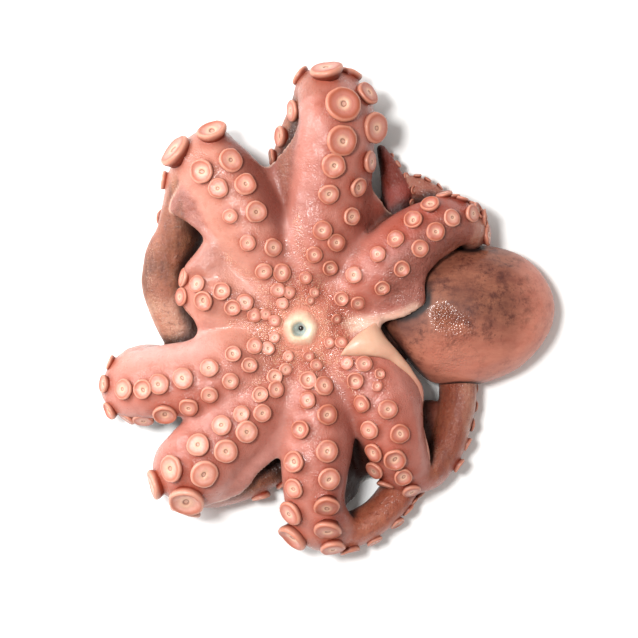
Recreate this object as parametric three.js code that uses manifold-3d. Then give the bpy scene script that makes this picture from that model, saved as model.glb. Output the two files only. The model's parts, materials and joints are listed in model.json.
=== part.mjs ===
// A whole raw octopus, lying mouth up: the mantle flops to the right, and the eight arms
// spread from the mouth, fold over at their outer ends and run back along the ground.
// Millimetres, +Z up, the origin on the ground under the middle of the plan.
import * as THREE from 'three';
import { mergeVertices } from 'three/addons/utils/BufferGeometryUtils.js';
import Module from 'manifold-3d';

const wasm = await Module();
wasm.setup();

// Driving sizes
const PLACES_PER_SPAN = 15;
const PLACES_PER_RING = 15;
const ARM_SIDES = 8;
const ROOT_HALF_WIDTH = 6;
const FULL_WIDTH_AT = 50;
const TIP_HALF_WIDTH = 1.5;
const THICKNESS_SHARE = 0.7;
const SKIN_THICKNESS = 4;
const SKIN_ALONG = 4;
const SKIN_ACROSS = 4;
const WEB_START = 12;
const SUCKER_SPACING = 1.42;
const SUCKER_OFFSET = 1.25;
const SUCKER_SWELL = 1.07;
const SMALLEST_SUCKER = 2.4;
const SMALLEST_SEEN = 3.6;
const MOUTH = [-14.5, -8, 44];
const MOUTH_RADIUS = 12.6;
const PIT_RADIUS = 3.9;
const PIT_DEPTH = 10;
const BEAK_RADIUS = 3;
const BEAK_TOP = -2.4;
const BEAK_FOOT = -9.7;
const BEAK_LEAN = 0.005;
const SHORTEST_EDGE = 0.2;
const WELD_DISTANCE = 1e-3;
const FLESH_COLOUR = 0xd98f7d;
const BEAK_COLOUR = 0x2a1a14;

// The arms clockwise from the top of the plan. A route is the arm's middle line from the mouth
// outwards, over the fold and back. A small taper keeps the arm wide until near its tip. The
// roll, in degrees at the mouth, the fold and the tip, turns the suckered face about the arm.
// Suckers are seen on the upper face (x, y, radius) or tipped over the fold (x, y, z, radius,
// bearing and rise of the way they face). The late ones follow from a distance along the arm,
// their radius given at the fold and at the tip.
const ARMS = [
  {
    name: 'top', wide: 22, foldAt: 117, foldWide: 23, taper: 0.65,
    roll: [5, 38, 10], late: [8.5, 1.6], hiddenFrom: 150,
    route: [[-13, 1, 34], [-9, 21, 34], [-3, 43, 35], [2, 68, 36], [4.5, 90, 37], [5, 106, 36],
      [4, 117, 26], [-1, 108, 15], [-9, 93, 12], [-15, 73, 10], [-5, 56, 9], [15, 50, 9],
      [30, 51, 10], [37.5, 60, 12], [36.6, 72, 13], [32.8, 84, 12], [28.5, 94, 9]],
    seen: [[-10, 7.5, 2.5], [-7, 11.5, 2.7], [-12, 19.5, 3.5], [1.5, 25, 4.1], [-7, 32, 4.4],
      [5, 38.5, 4.9], [-2.5, 45, 5.2], [13, 52.5, 4.9], [1, 64.5, 5.4], [16.5, 69, 5.4],
      [3.5, 80, 6.3], [22.5, 82.5, 5.7], [8, 93.5, 7.9], [8.5, 113.5, 9.3]],
    tipped: [[27.5, 101, 40, 8.2, -14, 44], [22, 121, 36, 6.6, 40, 38],
      [0, 127, 38, 8.7, 100, 24], [12, 131, 27, 6.5, 80, -5], [-9, 127, 26, 6, 150, -10],
      [-17, 112, 24, 6, 180, 15], [-23, 98, 20, 5.6, 185, 8], [-27, 87, 17, 4.6, 190, 8],
      [40, 83, 14, 2.1, 20, 30], [43.5, 76, 14, 2.3, 8, 30], [45, 69, 14, 2.3, -8, 30],
      [44.5, 62.5, 14, 2.1, -20, 30]],
  },
  {
    name: 'upper_right', wide: 17, foldAt: 104, foldWide: 12.5, taper: 0.45,
    roll: [8, -34, 0], late: [4.6, 1.4], hiddenFrom: 132,
    route: [[-5, -2, 34], [6, 7, 34], [20, 18.5, 36], [36, 32.5, 38], [51, 45, 38],
      [64, 52.5, 35], [77, 49, 26], [75, 45.5, 14], [65.5, 55, 11], [54, 66, 11],
      [45.5, 69.5, 10], [42, 60, 9], [40, 49, 7]],
    seen: [[4, -2, 3], [7, 8, 3.8], [16.5, 5.5, 4.1], [14, 21, 4.6], [29.5, 14, 4.1],
      [27, 32.5, 4.4], [40, 24, 4.4], [36.5, 40.5, 4.6], [50, 35, 4.6], [46.5, 51, 4.9],
      [59, 44, 4.9], [56, 59, 4.9], [67.5, 52, 4.9]],
    tipped: [[75, 54, 35, 4.8, -5, 35], [80.5, 56, 31, 4.6, 20, 20], [85, 52.5, 28, 4.6, 10, 15],
      [87, 43, 24, 5.6, -5, 20], [64, 64, 31, 4.5, 110, 10], [73, 62, 29, 4.5, 80, 5],
      [79.5, 58, 24, 4.3, 60, -5], [68.5, 63, 29, 4.2, 95, 5], [84, 55, 25, 4.2, 45, 0],
      [87.5, 48.5, 24, 4.4, 20, 5], [50, 78.5, 14, 2.2, 90, 20], [55.5, 74.5, 14, 2.3, 55, 15],
      [60, 69, 13, 2.2, 30, 10]],
  },
  {
    name: 'lower_right', wide: 19, foldAt: 96, foldWide: 14, taper: 0.08,
    roll: [0, 18, 75], late: [5.4, 2], hiddenFrom: 122,
    route: [[-7, -13, 34], [4, -21, 35], [16, -31, 36], [27, -45, 36], [33, -60, 36],
      [37, -73, 34], [40.5, -83, 27], [46, -90, 17], [56, -88, 12], [65, -76, 11], [70, -61, 11],
      [72.5, -45, 10], [71, -27, 8], [67, -12, 7]],
    seen: [[1, -16, 3], [7.5, -16, 3.5], [10.5, -27, 3.8], [20, -27.5, 4.4], [15, -36.5, 4.6],
      [28.5, -33, 3], [27.5, -39.5, 2.7], [18, -49, 4.6], [32.5, -52, 5], [22.5, -63.5, 5.2],
      [39.5, -65.5, 5.4], [25, -76, 5.4], [36.5, -79.5, 6.1]],
    tipped: [[27, -85, 31, 5.2, 227, 42], [41.5, -86, 32, 5, 275, 60], [45, -93, 25, 5, 290, 25],
      [31, -96, 24, 4.8, 255, 5]],
  },
  {
    name: 'bottom', wide: 19.5, foldAt: 106, foldWide: 15.5, taper: 0.32,
    roll: [0, 4, 110], late: [6.6, 1.6], hiddenFrom: 150,
    route: [[-13, -16, 34], [-12, -30, 34], [-8, -48, 35], [-5.5, -67, 36], [-7, -86, 36],
      [-7, -103, 33], [-2, -117, 26], [6, -121, 16], [17, -119, 12], [27.5, -112, 12],
      [37, -102, 11], [44, -91, 8], [52, -78, 6], [56, -62, 6], [58, -48, 5]],
    seen: [[-10.5, -23.5, 3.3], [-6.5, -28.5, 3.3], [-10.5, -36.5, 4.6], [-2, -39.5, 4.9],
      [-11, -47.5, 4.6], [0, -55, 5.4], [-14.5, -63, 4.9], [0, -74.5, 5.9], [-18, -80.5, 5.9],
      [1, -90, 6.1], [-19, -95, 5.6]],
    tipped: [[-1, -101, 42, 7, 268, 30], [-0.5, -113.5, 36, 7.4, 275, 34],
      [2, -122, 27, 6.8, 275, 24], [-16.5, -107, 36, 7, 215, 34],
      [-10.5, -115.5, 26, 8.2, 230, 14], [12, -130, 18, 5.2, 280, 10],
      [25, -124, 14, 4.6, 290, 14], [37, -114, 13, 4.2, 305, 14], [46, -104, 11, 3.8, 320, 12]],
  },
  {
    name: 'lower_left', wide: 19.5, foldAt: 102, foldWide: 21, taper: 0.45,
    roll: [0, 6, 0], late: [8.6, 1.6], hiddenFrom: 136,
    route: [[-18, -16, 34], [-26, -28, 34], [-36, -43, 35], [-48, -58, 36], [-61, -70.5, 35],
      [-71, -80, 34], [-77.5, -89, 26], [-73, -93, 15], [-60, -94, 12], [-46, -91, 11],
      [-32, -86, 9], [-20, -75, 8], [-15, -61, 5]],
    seen: [[-21.5, -23, 3], [-23, -30.5, 3.3], [-29, -34.5, 4.4], [-28, -41.5, 4.4],
      [-37, -44, 4.4], [-35.5, -54.5, 4.9], [-47, -54.5, 4.4], [-44, -64.5, 6],
      [-57.5, -60.5, 5.2], [-55.5, -75, 6.5], [-70.5, -71, 6.2], [-67.5, -87.5, 7.3]],
    tipped: [[-79, -83.5, 36, 7.4, 186, 52], [-75.5, -94.5, 32, 9.4, 256, 48],
      [-92, -93, 26, 8.2, 197, 16], [-78, -107, 20, 8, 250, 6]],
  },
  {
    name: 'left', wide: 21, foldAt: 99, foldWide: 20.5, taper: 0.5,
    roll: [0, 36, 20], late: [5.2, 1.4], hiddenFrom: 130,
    route: [[-21, -11, 34], [-36, -18, 34], [-53, -27, 35], [-70, -34, 33], [-87, -36.8, 29],
      [-99, -38, 25], [-107, -37, 18], [-104.5, -32, 12], [-97, -29, 11], [-88, -32, 9],
      [-78, -41, 7], [-70, -49, 5]],
    seen: [[-28.5, -13.5, 3], [-32.5, -19, 3.5], [-40, -17.5, 4.1], [-51.5, -22, 4.1],
      [-43, -28.5, 4.1], [-65, -29.5, 4.9], [-53, -37, 4.4], [-78.5, -35.5, 5.8],
      [-64.5, -44.5, 4.6], [-92, -38.5, 5.6], [-75.5, -51, 5.2], [-101, -41.5, 5],
      [-89, -55, 6.2], [-111.5, -41.5, 5.4]],
    tipped: [[-118.5, -39, 22, 4.8, 180, 22], [-116, -29, 17, 4.4, 160, 0],
      [-114.5, -49, 20, 5, 208, 25], [-101, -56, 25, 5.6, 262, 34], [-109, -54, 20, 5, 235, 22]],
  },
  {
    name: 'short_left', wide: 14, foldAt: 60, foldWide: 12.5, taper: 0.5,
    roll: [0, 0, 0], late: [4.9, 1.4], hiddenFrom: 86,
    route: [[-21, -6, 34], [-33, -1, 34], [-45, 5, 34], [-58, 9.5, 33], [-67, 12, 31],
      [-72, 14, 24], [-65, 12, 14], [-53, 8, 10], [-42, 2, 8], [-34, -2, 5]],
    seen: [[-29, -3.5, 3.3], [-34, 0, 3.3], [-40, -1, 3.8], [-45, 6, 4.4], [-52, 3, 4.4],
      [-58, 12, 4.6], [-68, 7, 5.2], [-71.5, 16.5, 4.6]],
    tipped: [[-79, 20, 31, 5, 172, 24], [-79, 9.5, 31, 5, 186, 34]],
  },
  {
    name: 'upper_left', wide: 19, foldAt: 104, foldWide: 18, taper: 0.36,
    roll: [0, 4, 150], late: [5.4, 1.6], hiddenFrom: 140,
    route: [[-20, -2, 34], [-26, 13, 34], [-34, 31, 35], [-43, 49, 37], [-52, 67, 37],
      [-61, 80, 35], [-69, 86, 27], [-75, 77, 19], [-78, 61, 15], [-81, 45, 14], [-87.5, 30, 13],
      [-89, 15, 13], [-85, 1, 12.5], [-79, -13, 11], [-69, -23, 9], [-56, -28, 7], [-45, -28, 4]],
    seen: [[-24.5, 5.5, 3.3], [-27, 13, 3.8], [-21, 11.5, 3.3], [-35, 23, 4.6], [-24, 22.5, 4.9],
      [-43.5, 38.5, 4.4], [-29.5, 36, 4.9], [-53, 53, 4.1], [-39, 55.5, 5.7], [-59.5, 68, 5.3],
      [-44.5, 70, 6], [-69, 77.5, 6.6], [-52.5, 83.5, 6.4]],
    tipped: [[-62, 94, 35, 7.8, 108, 24], [-76.5, 84, 30, 9.2, 140, 16], [-84, 73, 20, 5, 170, 0]],
  },
];

// Webs between one arm and the next clockwise: how far along each arm the free edge meets it,
// how deep the skin sags between the arms, and the places that the free edge runs through.
const WEBS = [
  {
    from: 'top', to: 'upper_right', reach: [74, 80], sag: 6,
    margin: [[29, 63, 25], [33, 57, 21], [38, 54.5, 21], [43, 57, 26]],
  },
  {
    from: 'lower_right', to: 'bottom', reach: [84, 100], sag: 6,
    margin: [[28, -88, 15], [23, -91, 6], [18.5, -94, 3], [16.5, -100, 3], [11, -106, 11]],
  },
  {
    from: 'bottom', to: 'lower_left', reach: [72, 92], sag: 1,
    margin: [[-24, -76.5, 35], [-32, -82.5, 34], [-40, -89.5, 33], [-44, -95.5, 31],
      [-51, -101, 29], [-60, -103, 28]],
  },
  {
    from: 'lower_left', to: 'left', reach: [72, 62], sag: 14,
    margin: [[-69, -59, 27], [-72, -55, 22], [-73, -52, 27]],
  },
  {
    from: 'left', to: 'short_left', reach: [62, 60], sag: 3,
    margin: [[-71, -18, 31], [-70, -10, 30], [-72, -3, 30]],
  },
  {
    from: 'short_left', to: 'upper_left', reach: [62, 100], sag: 3,
    margin: [[-78, 23, 31], [-74, 28.5, 34], [-69.5, 34, 35], [-66.5, 40.5, 36], [-71, 47, 35],
      [-80, 53, 32], [-87, 57, 29]],
  },
  {
    from: 'upper_left', to: 'top', reach: [96, 108], sag: 5,
    margin: [[-44, 86, 33], [-38, 81.5, 31], [-32, 81, 31], [-25.5, 88, 33]],
  },
];

// The web between the upper right and the lower right arm is torn. One half hangs from the
// upper right arm, with a torn edge. The other rises from the lower right arm to a crest,
// and is folded back from there over a middle line to an inner edge.
const TORN_EDGE = [[8, -7, 38], [29, -5, 39.5], [40, -2.5, 41], [48, 1, 42], [53.5, 6, 42.5],
  [52.5, 13, 42], [53, 20, 41], [57.5, 26, 39], [65, 32, 36], [73, 38, 31]];
const TORN_REACH = 100;
const FOLDED_OUTER = [[28.5, -3.5, 41.5], [29.5, -9, 41.5], [37, -20, 40.5], [42.8, -28, 39],
  [47, -34.5, 37], [51, -41, 35], [51.6, -48, 33.5], [51, -59, 32], [54, -72, 30], [56, -83, 27]];
const FOLDED_MIDDLE = [[14, -13.5, 45], [20, -13.5, 46], [32, -19.5, 45.5], [39, -25.5, 43.5],
  [44.5, -31.5, 40.5], [50.5, -41, 37], [51.1, -48, 35], [50.4, -59, 33.5], [53.4, -72, 31.5],
  [55.4, -83, 28.5]];
const FOLDED_INNER = [[7, -23, 44.5], [13, -23.7, 45], [27.5, -23.5, 45], [34, -25.5, 43],
  [41, -31, 40], [49.8, -41, 35.5], [50.4, -48, 33.7], [49.8, -59, 32], [52.8, -72, 30],
  [54.8, -83, 27.5]];
const STUMP_REACH = 90;

// The round parts: the crown carries the mouth, the head is hidden below it. The mantle is a
// bag, blunter towards the collar, that drifts aside and lies flat on the ground. The collar is
// a plane, given by the way it faces and its distance from the origin.
const CROWN = { centre: [MOUTH[0], MOUTH[1], 30], radii: [30, 30, 13], across: 10, down: 6 };
const HEAD = { centre: [14, -12, 13], radii: [36, 24, 14.5], across: 10, down: 6 };
const MANTLE = { centre: [76, -1, 12], radii: [50, 39, 33], blunt: 2.5, drift: 3.5 };
const COLLAR_FACING = new THREE.Vector3(-0.78, -0.624, 0);
const COLLAR_AT = -18.6;
const COLLAR_ROUND = 5;

const mix = (a, b, t) => a + (b - a) * t;
const clamp01 = (t) => Math.min(1, Math.max(0, t));
const ease = (t) => t * t * (3 - 2 * t);
const vector = (p) => new THREE.Vector3(...p);

function halfWidth(arm, s, length) {
  if (s < FULL_WIDTH_AT) {
    return mix(ROOT_HALF_WIDTH, arm.wide, Math.sin((Math.PI / 2) * (s / FULL_WIDTH_AT)));
  }
  if (s < arm.foldAt) {
    return mix(arm.wide, arm.foldWide, ease((s - FULL_WIDTH_AT) / (arm.foldAt - FULL_WIDTH_AT)));
  }
  const left = clamp01(1 - (s - arm.foldAt) / (length - arm.foldAt));
  return TIP_HALF_WIDTH + (arm.foldWide - TIP_HALF_WIDTH) * left ** arm.taper;
}

// Stations along an arm: the middle point, the way on, the normal that the suckers face, the
// clockwise side, the half width a and half thickness b, and the distance run along the
// middle and along the suckered face.
function stationsOf(arm) {
  const curve = new THREE.CatmullRomCurve3(arm.route.map(vector));
  const count = (arm.route.length - 1) * PLACES_PER_SPAN;
  const lengths = curve.getLengths(count);
  const length = lengths[count];
  const stations = [];
  let carried = new THREE.Vector3(0, 0, 1);
  for (let i = 0; i <= count; i++) {
    const s = lengths[i];
    const point = curve.getPoint(i / count);
    const tangent = curve.getTangent(i / count);
    carried = carried.clone().addScaledVector(tangent, -carried.dot(tangent)).normalize();
    const [atMouth, atFold, atTip] = arm.roll;
    const pastFold = clamp01((s - arm.foldAt) / (length - arm.foldAt));
    const beforeFold = mix(atMouth, atFold, s / arm.foldAt);
    const degrees = s < arm.foldAt ? beforeFold : mix(atFold, atTip, pastFold);
    const normal = carried.clone().applyAxisAngle(tangent, THREE.MathUtils.degToRad(degrees));
    const side = new THREE.Vector3().crossVectors(tangent, normal);
    const a = halfWidth(arm, s, length);
    const b = a * THICKNESS_SHARE;
    const oral = point.clone().addScaledVector(normal, b);
    const last = stations[i - 1];
    const face = last ? last.face + oral.distanceTo(last.oral) : 0;
    stations.push({ s, point, tangent, normal, side, a, b, oral, face });
  }
  return stations;
}

// The place between two stations at a distance, measured by the key 's' or 'face'.
function placeAt(stations, distance, key) {
  let i = 1;
  while (i < stations.length - 1 && stations[i][key] < distance) i++;
  const [p, q] = [stations[i - 1], stations[i]];
  const t = clamp01((distance - p[key]) / (q[key] - p[key]));
  return {
    s: mix(p.s, q.s, t),
    face: mix(p.face, q.face, t),
    point: p.point.clone().lerp(q.point, t),
    normal: p.normal.clone().lerp(q.normal, t).normalize(),
    side: p.side.clone().lerp(q.side, t).normalize(),
    a: mix(p.a, q.a, t),
    b: mix(p.b, q.b, t),
  };
}

// A closed solid from a geometry whose points are first moved by a function.
function solid(geometry, move, tolerance = SHORTEST_EDGE) {
  const bare = geometry.clone();
  bare.deleteAttribute('normal');
  bare.deleteAttribute('uv');
  const merged = mergeVertices(bare, WELD_DISTANCE);
  const position = merged.getAttribute('position');
  const v = new THREE.Vector3();
  for (let i = 0; i < position.count; i++) {
    move(v.fromBufferAttribute(position, i));
    position.setXYZ(i, v.x, v.y, v.z);
  }
  return new wasm.Manifold(new wasm.Mesh({
    numProp: 3,
    vertProperties: new Float32Array(position.array),
    triVerts: new Uint32Array(merged.index.array),
    tolerance,
  }));
}

function armSolid(stations) {
  const last = stations.length - 1;
  const tube = new THREE.CylinderGeometry(1, 1, 1, ARM_SIDES, Math.round(last / PLACES_PER_RING));
  return solid(tube, (v) => {
    const station = stations[Math.round((0.5 - v.y) * last)];
    const [across, up] = [-v.x * station.a, v.z * station.b];
    v.copy(station.point)
      .addScaledVector(station.side, across)
      .addScaledVector(station.normal, up);
  });
}

function roundSolid({ centre, radii, across, down }) {
  return solid(new THREE.SphereGeometry(1, across, down), (v) => {
    v.multiply(vector(radii)).add(vector(centre));
  });
}

// The mantle, and its surface drawn in to the collar's plane with a rounded edge.
function mantleSolid({ centre, radii, blunt, drift }) {
  return solid(new THREE.SphereGeometry(1, 18, 10), (v) => {
    const ring = Math.hypot(v.y, v.z);
    const power = v.x < 0 ? blunt : 2;
    const wide = clamp01(1 - Math.abs(v.x) ** power) ** (1 / power);
    const [across, up] = ring > 1e-6 ? [v.y / ring, v.z / ring] : [0, 0];
    const height = up > 0 ? up * radii[2] * wide : up * (centre[2] + 0.5) * Math.sqrt(wide);
    const sideways = across * radii[1] * wide + drift * Math.max(v.x, 0);
    v.set(v.x * radii[0], sideways, height).add(vector(centre));
    const over = Math.max(v.dot(COLLAR_FACING) - COLLAR_AT + COLLAR_ROUND, 0);
    const pulled = over - COLLAR_ROUND * (1 - Math.exp(-over / COLLAR_ROUND));
    v.addScaledVector(COLLAR_FACING, -pulled);
  });
}

// A thin skin about a patch: middle(t, v) gives its middle surface.
function skinSolid(middle) {
  const slab = new THREE.BoxGeometry(1, 1, 1, SKIN_ALONG, SKIN_ACROSS, 1);
  return solid(slab, (p) => {
    const [t, v, level] = [p.x + 0.5, p.y + 0.5, p.z * SKIN_THICKNESS];
    const along = middle(t + 0.01, v).sub(middle(t - 0.01, v));
    const across = middle(t, v + 0.01).sub(middle(t, v - 0.01));
    p.copy(middle(t, v)).addScaledVector(along.cross(across).normalize(), level);
  });
}

// The line on an arm's flank where a web leaves it, on the clockwise side where turn is 1 and
// on the other where it is -1.
function armEdge(stations, reach, turn) {
  return (t) => {
    const place = placeAt(stations, mix(WEB_START, reach, t), 's');
    return place.point
      .addScaledVector(place.side, turn * place.a * 0.72)
      .addScaledVector(place.normal, place.b * 0.35);
  };
}

function lineOf(points) {
  const curve = new THREE.CatmullRomCurve3(points.map(vector));
  return (t) => curve.getPoint(clamp01(t));
}

function webSolid({ from, to, reach, sag, margin }) {
  const start = armEdge(stationsNamed[from], reach[0], 1);
  const end = armEdge(stationsNamed[to], reach[1], -1);
  const free = lineOf([start(1).toArray(), ...margin, end(1).toArray()]);
  return skinSolid((t, v) => {
    const drawn = free(v).sub(start(1).lerp(end(1), clamp01(v)));
    const point = start(t).lerp(end(t), v).addScaledVector(drawn, t * t);
    point.z -= sag * Math.sin(Math.PI * v) * Math.sin(Math.PI * t);
    return point;
  });
}

function tornSolid(stations, reach, turn, edge) {
  const [start, end] = [armEdge(stations, reach, turn), lineOf(edge)];
  return skinSolid((t, v) => start(t).lerp(end(t), v));
}

// A skin that bends from one line over a second to a third.
function foldedSolid(lines) {
  const [outer, middle, inner] = lines.map(lineOf);
  return skinSolid((t, v) => outer(t).multiplyScalar((1 - v) * (1 - 2 * v))
    .addScaledVector(middle(t), 4 * v * (1 - v))
    .addScaledVector(inner(t), v * (2 * v - 1)));
}

// The point of the arm's rounded section at u across and w up, and the way out from there.
function onSection(place, u, w) {
  const { point, side, normal, a, b } = place;
  const base = point.clone().addScaledVector(side, u).addScaledVector(normal, w);
  const out = side.clone().multiplyScalar(u / a ** 2).addScaledVector(normal, w / b ** 2);
  return { base, out: out.normalize() };
}

// A sucker on the upper face, found straight below the place where its rim is seen.
function seenSucker(arm, stations, [x, y, radius]) {
  const upper = stations.filter((station) => station.s < arm.foldAt + 4);
  const away = ({ oral }) => Math.hypot(oral.x - x, oral.y - y);
  const place = upper.reduce((best, station) => (away(station) < away(best) ? station : best));
  const across = new THREE.Vector3(place.tangent.y, -place.tangent.x, 0).normalize();
  const off = new THREE.Vector3(x, y, place.point.z).sub(place.point).dot(across);
  const [u, w] = [place.a * place.side.dot(across), place.b * place.normal.dot(across)];
  const share = Math.min(0.97, Math.max(-0.97, off / Math.hypot(u, w)));
  const turns = [Math.acos(share), -Math.acos(share)].map((reach) => Math.atan2(w, u) + reach);
  const [{ base, out }] = turns
    .map((turn) => onSection(place, place.a * Math.cos(turn), place.b * Math.sin(turn)))
    .sort((p, q) => q.base.z - p.base.z);
  base.set(x - out.x * 0.38 * radius, y - out.y * 0.38 * radius, base.z);
  return { base, out, radius };
}

// A sucker on the fold, moved in or out to the arm's surface. It keeps its stated facing.
function tippedSucker(stations, [x, y, z, radius, bearing, rise]) {
  const wanted = new THREE.Vector3(x, y, z);
  const away = ({ point }) => point.distanceTo(wanted);
  const place = stations.reduce((best, next) => (away(next) < away(best) ? next : best));
  const offset = wanted.sub(place.point);
  const [u, w] = [offset.dot(place.side), offset.dot(place.normal)];
  const size = Math.hypot(u / place.a, w / place.b);
  const { base } = onSection(place, u / size, w / size);
  const out = new THREE.Vector3().setFromSphericalCoords(
    1,
    THREE.MathUtils.degToRad(90 - rise),
    THREE.MathUtils.degToRad(bearing),
  );
  return { base, out: new THREE.Vector3(out.z, out.x, out.y), radius };
}

// Two rows of suckers, one to each side in turn, a little over a radius apart.
function lateSuckers(arm, stations) {
  const [atFold, atTip] = arm.late;
  const { s: length, face: end } = stations.at(-1);
  const found = [];
  let { face } = placeAt(stations, arm.hiddenFrom, 's');
  for (let turn = 1; face < end - 6; turn = -turn) {
    const place = placeAt(stations, face, 'face');
    const radius = mix(atFold, atTip, (place.s - arm.foldAt) / (length - arm.foldAt));
    const lateral = turn * Math.min(SUCKER_OFFSET * radius, (arm.rows ?? 0.6) * place.a);
    const rise = place.b * Math.sqrt(1 - (lateral / place.a) ** 2);
    found.push({ ...onSection(place, lateral, rise), radius });
    face += SUCKER_SPACING * radius;
  }
  return found;
}

function suckersOf(arm) {
  const stations = stationsNamed[arm.name];
  const underneath = ({ base, out, radius }) => radius < SMALLEST_SUCKER || (base.z < 20 && out.z < -0.05);
  return [
    ...arm.seen.filter(([, , radius]) => radius > SMALLEST_SEEN)
      .map((sucker) => seenSucker(arm, stations, sucker)),
    ...arm.tipped.map((sucker) => tippedSucker(stations, sucker)),
    ...lateSuckers(arm, stations).filter((sucker) => !underneath(sucker)),
  ];
}

// A short stalk that widens to a rim, round a shallow dish.
function suckerSolid({ base, out, radius }) {
  const sides = radius > 7 ? 8 : radius > 5 ? 6 : 5;
  const profile = [[0, -0.5], [0.85, -0.5], [1, 0.4], [0, 0.2]]
    .map(([x, y]) => new THREE.Vector2(x, y).multiplyScalar(radius * SUCKER_SWELL));
  const turn = new THREE.Quaternion().setFromUnitVectors(new THREE.Vector3(0, 1, 0), out);
  return solid(new THREE.LatheGeometry(profile, sides), (p) => p.applyQuaternion(turn).add(base));
}

// A solid of revolution about the upright line through the mouth, its profile [radius, height].
function roundMouth(profile, sides, lean = 0) {
  const points = profile.map(([x, y]) => new THREE.Vector2(x, y));
  return solid(new THREE.LatheGeometry(points, sides), (v) => {
    v.set(MOUTH[0] + v.x + lean * v.y ** 2, MOUTH[1] - v.z, MOUTH[2] + v.y);
  });
}

const union = (solids) => solids.reduce((all, next) => all.add(next));

function geometryOf(made) {
  const { vertProperties, triVerts } = made.getMesh();
  return new THREE.BufferGeometry()
    .setAttribute('position', new THREE.BufferAttribute(new Float32Array(vertProperties), 3))
    .setIndex(new THREE.BufferAttribute(new Uint32Array(triVerts), 1));
}

// Only the largest body, without sealed hollows or scraps. Welding can part a sliver that hung
// on by an edge, so it is done again until nothing more comes off.
function oneBody(made) {
  let [largest, count] = [made, 2];
  while (count > 1) {
    const bodies = solid(geometryOf(largest).toNonIndexed(), () => {}, 0).decompose();
    [largest] = bodies.sort((a, b) => b.volume() - a.volume());
    count = bodies.length;
  }
  return largest;
}

function meshOf(name, made, colour, roughness) {
  const geometry = geometryOf(made);
  geometry.computeVertexNormals();
  const material = new THREE.MeshStandardMaterial({ color: colour, roughness, metalness: 0 });
  const mesh = new THREE.Mesh(geometry, material);
  mesh.name = name;
  return mesh;
}

const stationsNamed = {};
for (const arm of ARMS) stationsNamed[arm.name] = stationsOf(arm);

const flesh = Object.values(stationsNamed).map(armSolid);
flesh.push(...WEBS.map(webSolid));
flesh.push(tornSolid(stationsNamed.upper_right, TORN_REACH, 1, TORN_EDGE));
flesh.push(tornSolid(stationsNamed.lower_right, STUMP_REACH, -1, FOLDED_OUTER));
flesh.push(foldedSolid([FOLDED_OUTER, FOLDED_MIDDLE, FOLDED_INNER]));
flesh.push(roundSolid(CROWN), roundSolid(HEAD), mantleSolid(MANTLE));
flesh.push(roundMouth([[0, -6], [MOUTH_RADIUS, -6], [MOUTH_RADIUS, -1.4], [8.5, 0.4], [0, 0.4]], 12));

const suckers = ARMS.flatMap(suckersOf).map(suckerSolid);
const ground = solid(new THREE.BoxGeometry(600, 600, 100), (v) => v.setZ(v.z - 50));
const pit = roundMouth([[0, -PIT_DEPTH], [PIT_RADIUS, -PIT_DEPTH], [PIT_RADIUS, 4], [0, 4]], 10);
const body = oneBody(union([...flesh, ...suckers]).subtract(ground).subtract(pit));
const beakProfile = [[0, BEAK_FOOT], [BEAK_RADIUS, BEAK_FOOT], [BEAK_RADIUS, -5.5],
  [BEAK_RADIUS * 0.55, -3.3], [0, BEAK_TOP]];
const beak = roundMouth(beakProfile, 10, BEAK_LEAN);

const octopus = new THREE.Group();
octopus.add(meshOf('octopus', body, FLESH_COLOUR, 0.35));
octopus.add(meshOf('beak', beak, BEAK_COLOUR, 0.3));

export default octopus;
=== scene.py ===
"""The looks of a whole raw octopus that lies mouth up: wet skin, suckers, mantle, mouth and beak.

The flesh is moulded on a grid of distances: each arm, web and round part is laid in, and where
two of them meet they run into each other over a stated width, as soft flesh does.
"""

import json
import math

import bpy
import numpy as np
import openvdb
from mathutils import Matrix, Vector, noise

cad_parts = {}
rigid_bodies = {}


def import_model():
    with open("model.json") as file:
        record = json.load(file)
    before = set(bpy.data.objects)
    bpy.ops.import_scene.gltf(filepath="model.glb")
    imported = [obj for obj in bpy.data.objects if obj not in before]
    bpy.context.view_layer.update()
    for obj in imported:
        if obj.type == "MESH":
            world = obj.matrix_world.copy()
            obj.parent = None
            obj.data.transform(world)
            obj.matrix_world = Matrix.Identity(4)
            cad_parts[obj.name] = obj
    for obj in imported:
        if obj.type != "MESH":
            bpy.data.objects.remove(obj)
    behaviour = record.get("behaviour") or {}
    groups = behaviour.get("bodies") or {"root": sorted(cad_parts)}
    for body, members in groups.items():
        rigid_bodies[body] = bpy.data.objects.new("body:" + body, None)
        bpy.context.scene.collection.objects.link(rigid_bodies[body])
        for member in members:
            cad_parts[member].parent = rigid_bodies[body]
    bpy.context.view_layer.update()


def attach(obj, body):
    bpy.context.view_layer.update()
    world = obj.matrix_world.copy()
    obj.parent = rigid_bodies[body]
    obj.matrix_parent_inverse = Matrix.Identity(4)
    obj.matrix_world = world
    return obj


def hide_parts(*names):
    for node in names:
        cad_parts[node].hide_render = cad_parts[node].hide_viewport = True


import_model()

MM = 0.001
RNG = np.random.default_rng(8)
noise.seed_set(8)

# Places and sizes of the animal, in millimetres
ROOT_HALF_WIDTH = 6
FULL_WIDTH_AT = 50
TIP_HALF_WIDTH = 1.5
THICKNESS_SHARE = 0.7
WEB_START = 12
WEB_THICKNESS = 3.4
SUCKER_SPACING = 1.42
SUCKER_OFFSET = 1.25
ROW_REACH = 0.6
MOUTH = np.array([-14.5, -8.0, 44.0])
MOUTH_PIT = (6.5, 6.5, 8)
LOWEST_SUCKER = 3
PLACES_PER_SPAN = 15
FLOOR_GAP = 0.02

# How far a sucker keeps the way that it is set to face, rather than the flesh's own way there
SEEN, TIPPED, LATE = 0.45, 0.8, 1

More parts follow.
